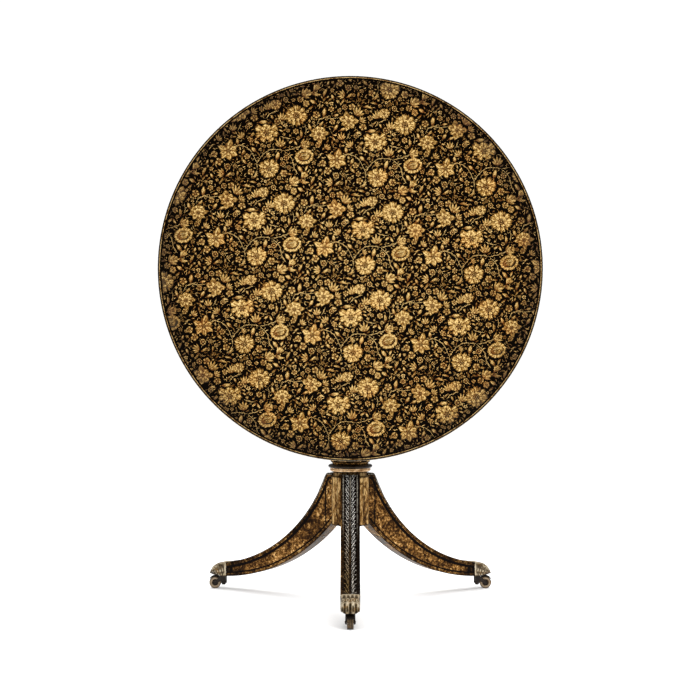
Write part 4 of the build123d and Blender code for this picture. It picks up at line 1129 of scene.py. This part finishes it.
def leg_mesh(name, azimuth):
    length, out, height, normal = leg_stations()
    columns = np.array([
        0, 0.8, 1.5, 2.0, 2.3, 2.5, 3.1, 4.6, 6.5, 8.4, 10.3, 12.2, 13.6, 14.2, 14.45, 14.9, 15.6, 16.75, 17.9,
        18.6, 19.0, 19.2, 19.7, 19.9, 20.8, 21.7, 22.4, 23.0,
    ])
    q = np.concatenate([-columns[:0:-1], columns])
    half = (46.5 - 2.0 * out / LEG_END) / 2
    depth, gilt = leg_top_section(np.abs(q))
    gilt = gilt * np.where(q > 0, 0.04, 1.0)
    # Painted highlight: the beads and the rib are painted grey, most strongly high up the leg.
    beads = between(np.abs(q), 15.6, 17.9, 1.6) + 0.8 * between(np.abs(q), -1.0, 1.2, 0.8)
    sheen_by_height = np.interp(height, [70, 170, 225, 300, 308], [0.0, 0.02, 0.8, 1.5, 0.6])
    painted_sheen = beads * sheen_by_height[:, None]
    top = np.stack([
        out[:, None] - normal[:, :1] * depth, q * half[:, None] / 23.0, height[:, None] - normal[:, 1:] * depth
    ], -1)
    upper = np.array([
        1.7, 2.0, 2.6, 3.3, 4.1, 4.9, 5.5, 5.8, 6.1, 6.5, 6.9, 7.2, 7.8, 8.4, 8.8, 9.6, 11.0, 13.0, 15.2, 15.7,
    ])
    lower = np.array([11.7, 11.1, 9.6, 8.2, 7.6, 7.2, 6.8, 6.5, 6.1, 4.8, 3.4, 2.2, 1.75, 1.4, 0.0])
    above = np.stack([head_height(out, d) for d in upper], 1)
    below = np.stack([arc_height(BOTTOM_ARC, out, -e) for e in lower], 1)
    share = np.linspace(0, 1, 24)[1:-1]
    middle = above[:, -1:] + (below[:, :1] - above[:, -1:]) * share
    rows = np.concatenate([above, middle, below], 1)
    spread = 0 * rows + out[:, None]
    from_top = np.hypot(spread - TOP_ARC[0], rows - TOP_ARC[1]) - TOP_ARC[2]
    from_top = np.minimum(from_top, LEG_HEAD - rows)
    from_bottom = BOTTOM_ARC[2] - np.hypot(spread - BOTTOM_ARC[0], rows - BOTTOM_ARC[1])
    inset, side_gilt = leg_side_section(from_top, from_bottom, spread, 0 * rows + length[:, None])
    # Painted highlight: a grey line along the top edge of each side, high up the leg, in place of the gilding.
    edge_highlight = between(from_top, 1.6, 4.4, 0.6) * smoothstep(rows, 140, 290)
    side_gilt = side_gilt * (1 - 0.9 * edge_highlight)
    side = np.stack([spread, half[:, None] - inset, rows], -1)
    sole_across = half[:, None] * np.array([0.9, 0.5, 0, -0.5, -0.9])
    flat = np.stack([spread[:, :5], sole_across, 0 * spread[:, :5] + rows[:, -1:]], -1)
    other = side[:, ::-1] * (1, -1, 1)
    grid = np.concatenate([top, side, flat, other], 1)
    lower_gilt = np.interp(height, [60, 200, 290], [1.0, 0.7, 0.2])[:, None]
    paint = np.concatenate(
        [0 * top[..., 0] + gilt * lower_gilt, side_gilt, 0.6 + 0 * flat[..., 0], side_gilt[:, ::-1]], 1
    )
    # Painted reflection: the underside is painted grey, like the floor seen in its gloss.
    sole_reflection = 0 * flat[..., 0] + np.array([0.1, 0.4, 0.6, 0.4, 0.1])
    painted_sheen = np.concatenate([painted_sheen, 1.2 * edge_highlight, sole_reflection, 1.2 * edge_highlight[:, ::-1]], 1)
    points, faces = closed_grid(grid)
    points = to_frame(azimuth, points[:, 0], points[:, 1], points[:, 2])
    make_object(
        f"carved_leg_{name}", points, faces, GILDED, "pedestal", (f"leg_{name}",),
        values={"gilt": paint.ravel(), "painted_sheen": painted_sheen.ravel()},
    )


def leg_leaves(name, azimuth):
    """The leaves carved in the two channels along the top of a leg, and their small berries."""
    length, out, height, normal = leg_stations()
    start, stop = np.interp(47.0, out, length), np.interp(349.0, out, length)
    # Leaves stand closer where the leg is steep, and grow longer towards the foot, where it lies flat.
    steps = np.concatenate([[0], np.cumsum((0.16 + 0.84 * normal[1:, 0]) * np.diff(length))])
    even = np.linspace(np.interp(start, length, steps), np.interp(stop, length, steps), LEAF_PAIRS + 1)
    marks = np.interp(even, steps, length)
    p = Pattern()
    for k in range(LEAF_PAIRS):
        repeat = marks[k + 1] - marks[k]
        along = marks[k] + 0.5 * repeat
        far = (k / (LEAF_PAIRS - 1)) ** 1.2
        for side in (-1, 1):
            middle = CHANNEL_MIDDLE * side
            tone = unit(far * (1.1 if side < 0 else 0.35))
            sway = rng.uniform(-0.10, 0.10)
            reach = 1.25 * repeat
            wide = 1.75 if side < 0 else np.interp(far, [0, 0.4], [1.2, 1.9])
            lean = math.atan2(10.4, reach)
            p.petal("fine", along + 0.55 * repeat, middle - 5.4 * side, math.pi - lean * side + sway,
                    math.hypot(reach, 10.0) * rng.uniform(0.9, 1.05), wide, LEAFY, bend=0.14 * side, tone=tone,
                    high=2.2)
            p.petal("plain", along + 0.5 * repeat, middle - 1.0 * side, math.pi - 1.15 * lean * side - sway,
                    0.62 * reach * rng.uniform(0.8, 1.1), 1.1, LEAFY, bend=-0.2 * side, tone=tone, high=1.7)
            p.petal(
                "small", along - 0.1 * repeat, middle - 5.0 * side, math.pi - 0.4 * lean * side, 0.5 * repeat,
                1.2, LEAFY, tone=tone, high=1.5
            )
            if rng.uniform() < 0.5:
                p.disc(
                    along - 0.1 * repeat, middle + rng.uniform(-3, 3), 2.4, 2.4, tone=tone, grid="small",
                    high=1.9
                )
    heap = Heap()
    for grid, rows in p.rows.items():
        if rows:
            points, paint = petal_points(np.array(rows), grid)
            for one, colour in zip(points, paint):
                heap.add(one, TOPOLOGY[grid][3], colour)
    points = np.vstack(heap.points)
    along, lift = points[:, 0], points[:, 2] - CHANNEL + 0.05
    place = [np.interp(along, length, c) for c in (out, height, normal[:, 0], normal[:, 1])]
    points = to_frame(azimuth, place[0] + lift * place[2], points[:, 1], place[1] + lift * place[3])
    make_object(
        f"leg_carving_{name}", points, heap.faces, CARVED, "pedestal",
        values={"petal": np.vstack(heap.paint)}
    )


for name, azimuth in AZIMUTHS.items():
    leg_mesh(name, azimuth)
    leg_leaves(name, azimuth)


# ---------------------------------------------------------------- paws
def paw_mesh(name, azimuth):
    """A lion's paw: a band at the leg, a row of leaves, knuckles, and four toes parted by grooves."""
    run = 1 - (1 - np.linspace(0, 0.9995, 92)) ** 1.7
    share = np.linspace(-1, 1, 81)
    t, u = np.meshgrid(run, share, indexing="ij")
    across = u * (22.45 - 1.0 * t)
    aside = np.abs(across)
    toe = np.abs(np.sin(math.pi * np.where(aside < 12.6, aside / 12.6, (aside - 12.6) / 10.0)))
    pull = 16.5 - np.sqrt(16.5**2 - np.clip(aside - 5.5, 0, 16.4) ** 2)
    end = 411.6 - pull - 2.4 * (1 - toe**0.6)
    out = LEG_END + t * (end - LEG_END)
    corner = 9.0 * (np.clip(aside - 11.0, 0, 12) / 11.5) ** 2.2
    floor = 34.0 + 2.0 * smoothstep(t, 0.84, 1.0) + corner * smoothstep(t, 0.45, 0.95)
    crown = 34.0 + 35.8 * (1 - t**2.3) ** 0.48
    round_off = 1 - (0.08 + 0.5 * t) * np.abs(u) ** (9 - 5 * t)
    top = floor + (crown - floor) * round_off
    toes = smoothstep(t, 0.72, 0.86)
    leaf_row = between(t, 0.09, 0.46, 0.03)
    spread = (across + 22.4) / 9.0 % 1.0 * 2 - 1
    leaves = unit(1 - np.abs(spread) / np.clip(1.25 * (1 - (t - 0.08) / 0.42), 0.05, 1.0)) ** 0.5
    veins = 0.5 + 0.5 * np.cos(spread * 9 + t * 40)
    scroll_row = between(t, 0.50, 0.74, 0.03)
    swirl = np.hypot((aside % 11.2 - 5.6) / 4.6, (t - 0.62) / 0.115)
    scrolls = unit(1 - np.abs(swirl - 0.72) / 0.30) + unit(1 - swirl / 0.28)
    knuckle = np.exp(-(((t - 0.87) / 0.05) ** 2)) * toe
    slit = between(t, 0.87, 0.985, 0.03) * unit((toe - 0.86) / 0.08)
    depth = 3.4 * toes * (1 - toe**0.75) + 1.7 * slit
    depth = depth + leaf_row * (1.7 - 1.4 * leaves - 0.3 * veins * leaves)
    depth = depth + scroll_row * 1.3 * (1 - unit(scrolls))
    depth = depth + 1.2 * between(t, 0.045, 0.075, 0.02) + 0.4 * toes - 0.9 * knuckle
    depth = depth + 1.1 * between(t, 0.465, 0.495, 0.02)
    steep = unit((top - floor) / 12.0)
    top = np.maximum(top - depth * steep, floor + 0.4)
    band = between(t, -1, 0.042, 0.02)
    crest = unit(1.05 - depth / 1.8) * (1 - band) + 0.95 * band
    sides, side_crest = [], []
    for down in (0.15, 0.32, 0.5, 0.68, 0.86):
        waves = np.abs(np.sin(run * 17 + 2.2 * math.sin(9 * down))) ** 0.8
        curls = waves * abs(math.cos(6.5 * down + 0.4)) ** 0.5
        scroll = 1.25 * (1 - curls) * between(run, 0.09, 0.95, 0.1)
        height = top[:, -1] + (floor[:, -1] - top[:, -1]) * down
        sides.append(np.stack([out[:, -1], across[:, -1] - (scroll + 0.25), height], -1))
        side_crest.append(unit(1.0 - scroll))
    sides, side_crest = np.stack(sides, 1), np.stack(side_crest, 1)
    base = np.stack([out[:, ::-8], across[:, ::-8] * 0.96, floor[:, ::-8]], -1)
    upper = np.stack([out, across, top], -1)
    grid = np.concatenate([upper, sides, base, sides[:, ::-1] * (1, -1, 1)], 1)
    paint = np.concatenate([crest, side_crest, 0.1 + 0 * base[..., 0], side_crest[:, ::-1]], 1)
    points, faces = closed_grid(grid)
    make_object(
        f"lion_paw_{name}", to_frame(azimuth, *points.T), faces, PAW, "pedestal", (f"paw_cap_{name}",),
        values={"crest": paint.ravel()},
    )


def paw_claws(name, azimuth):
    """A dark claw under the tip of each toe."""
    heap = Heap()
    length, wide, thick, slope = 4.6, 2.6, 2.1, 0.45
    turn, rise = np.linspace(0, 2 * math.pi, 13)[:-1], np.linspace(0.04, math.pi - 0.04, 9)
    for across, out, height in (
        (-6.3, 406.0, 37.6), (6.3, 406.0, 37.6), (-17.0, 397.0, 41.5), (17.0, 397.0, 41.5)
    ):
        grid = np.stack([
            out + length * np.cos(rise)[:, None] + 0 * turn,
            across + wide * np.sin(rise)[:, None] * np.cos(turn),
            height - slope * length * np.cos(rise)[:, None] + thick * np.sin(rise)[:, None] * np.sin(turn),
        ], -1)
        points, faces = closed_grid(grid)
        heap.add(points, faces, points)
    make_object(
        f"paw_claws_{name}", to_frame(azimuth, *np.vstack(heap.points).T), heap.faces, BRONZE, "pedestal"
    )


for name, azimuth in AZIMUTHS.items():
    paw_mesh(name, azimuth)
    paw_claws(name, azimuth)


# ---------------------------------------------------------------- drum, ring and column
def drum_shape(angle, radius, height):
    reeds = np.abs(np.sin(angle * 34))
    body = between(height, 187, 300, 2.0) * (radius > 40)
    carved = radius - body * 0.9 * (1 - reeds**0.7)
    broad = 0.90 + 0.10 * np.sin(angle * 9 + 1.0) * np.sin(angle * 23)
    strip = np.abs((angle * 12 / (2 * math.pi)) % 1.0 - 0.5)
    broad = broad * (1 - 0.85 * (strip < 0.03)) * (0.90 + 0.10 * np.sin(angle * 41 + 2 * np.sin(angle * 5)))
    neck = 0.25 * between(height, 303, 313, 1.0) * (radius > 40)
    return carved, np.maximum(neck, body * broad * (0.30 + 0.70 * reeds**0.6))


lathe(
    "reeded_drum", profile_line(
        [(0.5, 184), (44.4, 184), (45, 185), (45, 302), (44, 303), (41, 304.5), (41, 314), (0.5, 314)], 3.0
    ),
    544, drum_shape, STREAKED, "drum",
)


def ring_shape(angle, radius, height):
    band = between(height, 315.2, 322.6, 0.8) * (radius > 40)
    return radius, 0.02 + 0.98 * band


ring_rows = [(30, 314), (45.6, 314), (46.8, 315.0), (47.6, 316.0)]
ring_rows += [(48.6 + 0.9 * math.sin(a), 318.6 - 2.9 * math.cos(a)) for a in np.linspace(0.4, 2.6, 8)]
ring_rows += [(49.0, 321.8), (49.3, 322.4)]
ring_rows += [(48.95 + 4.8 * math.sin(a), 327.0 - 4.5 * math.cos(a)) for a in np.linspace(0.35, 3.1, 16)]
ring_rows += [(46.0, 331.5), (30, 331.5)]
lathe("collar_bead", ring_rows, 160, ring_shape, POLISHED, "collar_ring")


def arc_rows(a, b, c, count):
    """Points of the circle through three (radius, height) points."""
    (x1, y1), (x2, y2), (x3, y3) = a, b, c
    d = 2 * (x1 * (y2 - y3) + x2 * (y3 - y1) + x3 * (y1 - y2))
    s1, s2, s3 = (x * x + y * y for x, y in (a, b, c))
    ux = (s1 * (y2 - y3) + s2 * (y3 - y1) + s3 * (y1 - y2)) / d
    uy = (s1 * (x3 - x2) + s2 * (x1 - x3) + s3 * (x2 - x1)) / d
    reach = math.hypot(x1 - ux, y1 - uy)
    first, last = (math.atan2(y - uy, x - ux) for x, y in (a, c))
    return [(ux + reach * math.cos(t), uy + reach * math.sin(t)) for t in np.linspace(first, last, count)]


def column_shape(angle, radius, height):
    """Leaves up the vase, gold beads, a reeded shaft, and small leaves below the block."""
    carved, gilt = radius + 0, 0.03 + 0 * radius
    vase = between(height, 340, 468, 1.5)
    rise = unit((height - 340) / 128)
    leaves = 8
    turn = (angle * leaves / (2 * math.pi)) % 1.0 * 2 - 1
    back = (angle * leaves / (2 * math.pi) + 0.5) % 1.0 * 2 - 1
    teeth = 1 - 0.20 * np.abs(np.sin(rise * 22)) ** 1.5
    width = np.sin(math.pi * unit(0.16 + 0.80 * rise)) ** 0.6 * 0.80 * teeth
    behind = np.sin(math.pi * unit(0.70 * rise + 0.30)) ** 0.8 * 0.62 * teeth * (rise > 0.35)
    front = unit((width - np.abs(turn)) / 0.10)
    rear = unit((behind - np.abs(back)) / 0.10)
    veins = 0.5 + 0.5 * np.cos(16 * np.abs(turn) + 34 * rise)
    spine = np.abs(turn) < 0.07
    swell = np.sqrt(unit(1 - (turn / 0.9) ** 2))
    relief = np.maximum(front * (1.5 + 0.9 * swell + 0.5 * veins + 0.5 * spine), rear * 1.3)
    carved = carved - vase * (3.2 - np.minimum(relief, 3.2))
    leaf_gilt = np.maximum(front * (0.45 + 0.55 * veins) * (1 - 0.4 * spine), rear * 0.45)
    gilt = gilt + (leaf_gilt - gilt) * vase
    for low, high in ((473.5, 488.5), (651.5, 664.5), (696, 706.5), (333.5, 338)):
        gilt = np.where((height > low) & (height < high), 0.95, gilt)
    beads = between(height, 474.5, 487.5, 1.0) + between(height, 652, 663.5, 1.0)
    carved = carved - beads * 1.2 * (1 - np.abs(np.sin(angle * 18)) ** 0.6)
    shaft = between(height, 496, 646, 4.0)
    reeds = np.abs(np.sin(angle * 9))
    carved = carved - shaft * 2.2 * (1 - reeds**0.8)
    gilt = gilt + (0.95 * reeds**2.5 - gilt) * shaft
    upper = between(height, 667, 689, 1.0)
    flutes = np.abs(np.sin(angle * 8))
    carved = carved - upper * 1.2 * (1 - flutes)
    gilt = gilt + (0.95 * flutes**2.5 - gilt) * upper
    return carved, gilt


column_rows = profile_line([(18, 250), (18, 331.5), (43, 331.5), (44, 335), (48, 338)], 3.0)[:-1]
column_rows += arc_rows((48, 338), (61, 392), (38, 470), 110)
column_rows += [(40, 472.5), (41, 474)] + arc_rows((42, 474.5), (46, 481), (42, 487.5), 14)
column_rows += [(41, 488), (37, 489.5), (34, 491)]
column_rows += profile_line([(34, 491), (32, 570), (27, 648), (29, 649.5), (33, 651)], 4.0)[1:]
column_rows += arc_rows((33.2, 651.5), (38, 657.5), (33.2, 663.5), 12)
column_rows += profile_line([(33, 664), (29, 667), (34, 689), (44, 694)], 2.5)
column_rows += arc_rows((47, 695.4), (50, 700), (49, 705.4), 8)
column_rows += [(48, 706), (25, 706), (25, 738), (1, 738)]
lathe("carved_column", column_rows, 360, column_shape, GILDED, "column")


# ---------------------------------------------------------------- caster wheels
WHEEL_RADIUS, TRAIL, CASTER_OUT = 15.0, 21.3, 375.0  # TRAIL is from the stem to the axle
TRAILS = {"front": -90.0, "left": 180.0, "right": 0.0}


def caster_axes(name):
    """A caster's stem at the height of the axle, and the directions ahead, along the axle and up."""
    a, way = math.radians(AZIMUTHS[name]), math.radians(TRAILS[name])
    stem = np.array([CASTER_OUT * math.cos(a), CASTER_OUT * math.sin(a), WHEEL_RADIUS])
    ahead = np.array([math.cos(way), math.sin(way), 0])
    axle = np.array([-math.sin(way), math.cos(way), 0])
    return stem, ahead, axle, np.array([0, 0, 1])


def caster_wheel(name):
    """A brass wheel with a grooved tread, rims proud of a dark recess, and a hub."""
    rows = [
        (2.7, -7.0), (4.0, -7.1), (4.4, -6.6), (4.7, -5.2), (5.4, -5.0), (7.2, -5.0), (7.7, -5.4), (8.2, -6.9),
        (8.8, -7.3), (11.5, -7.3),
    ]
    rows += [(13.6 + 1.35 * math.sin(a), -5.9 - 1.35 * math.cos(a)) for a in np.linspace(0.1, 1.5, 6)]
    rows += [(14.98, -3.2), (14.5, -2.7), (14.5, -2.2), (14.98, -1.7)]
    rows += [(r, -h) for r, h in rows[::-1]]
    rows = np.array(rows)
    recess = ((rows[:, 0] > 4.5) & (rows[:, 0] < 7.9)) | (rows[:, 0] == 14.5)
    tread = rows[:, 0] > 13.7
    turn = np.linspace(0, 2 * math.pi, 73)[:-1]
    stem, ahead, axle, up = caster_axes(name)
    radius, width = rows[:, :1, None], rows[:, 1:, None]
    circle = np.cos(turn)[:, None] * ahead + np.sin(turn)[:, None] * up
    points, faces = closed_grid((stem + TRAIL * ahead + radius * circle + width * axle) * MM)
    crest = np.repeat(np.where(recess, 0.0, np.where(tread, 0.44, 1.05)), len(turn))
    make_object(
        f"brass_wheel_{name}", points, faces, WHEEL, f"wheel_{name}", (f"caster_wheel_{name}",),
        values={"crest": crest},
    )


def fork_hood(name):
    """The front of the fork's crown, curved over the wheel."""
    stem, ahead, axle, up = caster_axes(name)
    turn = np.radians(np.linspace(34, 146, 28))
    loop = [
        (-9.9, 15.8), (9.9, 15.8), (10.5, 16.3), (10.5, 17.0), (9.7, 17.6), (5.0, 17.8), (0, 17.9),
        (-5.0, 17.8),
        (-9.7, 17.6), (-10.5, 17.0), (-10.5, 16.3),
    ]
    grid = np.stack([
        np.stack([stem + (TRAIL + r * math.cos(v)) * ahead + r * math.sin(v) * up + w * axle for w, r in loop])
        for v in turn
    ])
    points, faces = closed_grid(grid * MM)
    make_object(f"fork_hood_{name}", points, faces, BRONZE, f"fork_{name}")


for name in AZIMUTHS:
    caster_wheel(name)
    fork_hood(name)


# ---------------------------------------------------------------- rim of the top
def rim_paint(radius, depth):
    """How gilt the rim is and where it is painted grey: a fine gold line in front, a gold edge and a painted
    highlight on the nose.
    """
    line = 0.55 * between(radius, 450.8, 452.0, 0.3) * (depth < -119.5)
    band = between(depth, -112.4, -105.6, 0.8) * (radius > 455)
    nose = between(radius, 454.6, 457.5, 0.6) * (depth < -114.0)
    return unit(line + 0.7 * band), 0.75 * nose


rim_rows = [
    (450.0, -97.2), (450.0, -120.2), (450.4, -120.7), (451.0, -121.0), (451.9, -120.9), (452.3, -120.3),
    (452.7, -120.1)
]
rim_rows += [(453.3 + 2.6 * math.sin(a), -117.8 - 2.8 * math.cos(a)) for a in np.linspace(0.0, 1.5, 7)]
rim_rows += [(455.9, -114.6), (455.2, -113.4), (455.2, -112.9)]
rim_rows += [(454.5 + 2.4 * math.sin(a), -109.0 - 3.8 * math.cos(a)) for a in np.linspace(0.25, 2.9, 11)]
rim_rows += [(455.2, -105.1), (455.2, -104.4), (455.9, -103.2), (456.0, -99.5), (455.0, -97.6), (453.5, -97.1)]


def rim_ring():
    """The rim is a ring, so its section closes on itself instead of ending in flat faces."""
    angle = np.linspace(0, 2 * math.pi, 481)[:-1, None]
    radius, depth = np.array(rim_rows).T
    gilt, painted_sheen = rim_paint(radius, depth)
    grid = np.stack([np.cos(angle) * radius, 0 * angle + depth, np.sin(angle) * radius + TOP_Z], -1) * MM
    count, wide = len(angle), len(rim_rows)
    faces = []
    for j in range(count):
        n = (j + 1) % count
        for i in range(wide):
            m = (i + 1) % wide
            faces.append((j * wide + i, n * wide + i, n * wide + m, j * wide + m))
    make_object(
        "rim_bead", grid.reshape(-1, 3), faces, LINED, "top", ("rim_moulding",),
        values={"gilt": np.tile(gilt, count), "painted_sheen": np.tile(painted_sheen, count)},
    )


rim_ring()

# ---------------------------------------------------------------- CAD nodes that stay, with their finishes
FINISHES = {
    "tabletop_panel": UNDERSIDE, "bearer_left": BLACK_WOOD, "bearer_right": BLACK_WOOD,
    "top_block": BLACK_WOOD, "tenon_wedge": BARE_WOOD, "spider_plate": IRON,
}
for node in ("pivot_bush_left", "pivot_bush_right", "catch_plate", "catch_bolt", "catch_knob", "strike_plate"):
    FINISHES[node] = BRASS
for node in (
    "bearer_screws", "catch_screws", "strike_screws", "spider_screws", "pivot_bolt_left", "pivot_bolt_right"
):
    FINISHES[node] = STEEL
for side in AZIMUTHS:
    for part in ("stem", "fork", "axle"):
        FINISHES[f"caster_{part}_{side}"] = BRONZE
for node, finish in FINISHES.items():
    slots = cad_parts[node].material_slots
    if not slots:
        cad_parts[node].data.materials.append(finish)
    for one in slots:
        one.material = finish

for node in ("bearer_left", "bearer_right", "top_block", "catch_plate", "strike_plate", "spider_plate"):
    soft_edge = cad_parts[node].modifiers.new("soft_edge", "BEVEL")
    soft_edge.width = 0.8 * MM
    soft_edge.segments = 2
    soft_edge.limit_method = "ANGLE"

# ---------------------------------------------------------------- floor, light and camera
floor_mesh = bpy.data.meshes.new("floor")
FLOOR_RADIUS, FLOOR_CORNERS = 2.9, 96
floor_angles = np.linspace(0, 2 * math.pi, FLOOR_CORNERS + 1)[:-1]
floor_ring = [(FLOOR_RADIUS * math.cos(a), FLOOR_RADIUS * math.sin(a), 0) for a in floor_angles]
floor_mesh.from_pydata(floor_ring, [], [tuple(range(FLOOR_CORNERS))])
floor = linked("floor", floor_mesh)
p = Paint("pale_floor")
x, y, _ = p.split(p.place())
reach = p.calc("SQRT", p.scaled(x, x, p.times(y, y)))
# Painted shade: the floor is darker near the table, from 0.80 in the middle to 0.91 further out, with a faint
# speckle.
shade_and_speckle = p.scaled(p.noise(p.place(), 3.0, 3.0), 0.15, p.step(reach, 0.1, 1.3))
tone = p.mix(shade_and_speckle, (0.80, 0.80, 0.80), (0.91, 0.91, 0.91))
# Painted light: the floor glows faintly, which lifts the shadows on it.
floor_mesh.materials.append(p.finish(tone, 0.9, Specular_IOR_Level=0.1, Emission_Strength=0.07))

world = bpy.data.worlds.new("studio")
bpy.context.scene.world = world
world.use_nodes = True
tree = world.node_tree
tree.nodes.clear()
world_out = tree.nodes.new("ShaderNodeOutputWorld")
mixer = tree.nodes.new("ShaderNodeMixShader")
path = tree.nodes.new("ShaderNodeLightPath")
tree.links.new(path.outputs["Is Camera Ray"], mixer.inputs[0])
# Light from all sides for the table, and plain white where the camera sees past the floor.
for socket, strength in ((mixer.inputs[1], 0.26), (mixer.inputs[2], 1.1)):
    background = tree.nodes.new("ShaderNodeBackground")
    background.inputs["Color"].default_value = (1, 1, 1, 1)
    background.inputs["Strength"].default_value = strength
    tree.links.new(background.outputs[0], socket)
tree.links.new(mixer.outputs[0], world_out.inputs[0])


def soft_light(name, place, target, size, power, mirrored=True):
    data = bpy.data.lights.new(name, "AREA")
    data.shape = "RECTANGLE"
    data.size, data.size_y = size
    data.energy = power
    made = linked(name, data)
    made.location = place
    made.rotation_euler = (Vector(target) - Vector(place)).to_track_quat("-Z", "Y").to_euler()
    made.visible_glossy = mirrored


soft_light("key_right", (2.2, -2.6, 2.2), (0, 0, 0.6), (2.4, 2.4), 74, False)
soft_light("fill_left", (-2.8, -2.2, 1.6), (0, 0, 0.6), (1.6, 2.2), 30, False)
soft_light("overhead", (0, 0.3, 3.6), (0, 0, 0), (5.0, 5.0), 320, False)
soft_light("behind", (0.8, 3.2, 1.8), (0, 0, 0.7), (2.0, 1.6), 40, False)
soft_light("gleam_right", (1.1, -1.9, 0.9), (0, 0, 0.3), (0.12, 1.4), 2.5)
soft_light("gleam_left", (-1.3, -2.0, 0.9), (0, 0, 0.3), (0.10, 1.4), 2.0)

camera = linked("camera", bpy.data.cameras.new("camera"))
CAMERA_DISTANCE, CAMERA_HEIGHT = 3.75, 0.61
camera.location = (0, -CAMERA_DISTANCE, CAMERA_HEIGHT)
camera.rotation_euler = (math.pi / 2, 0, 0)
camera.data.lens = 78.94  # the top's width in the photo, at that distance
camera.data.sensor_width = 36.0
camera.data.shift_x = -0.3 / 700  # the table stands a little off the middle of the photo
bpy.context.scene.camera = camera
bpy.context.scene.view_settings.view_transform = "Standard"
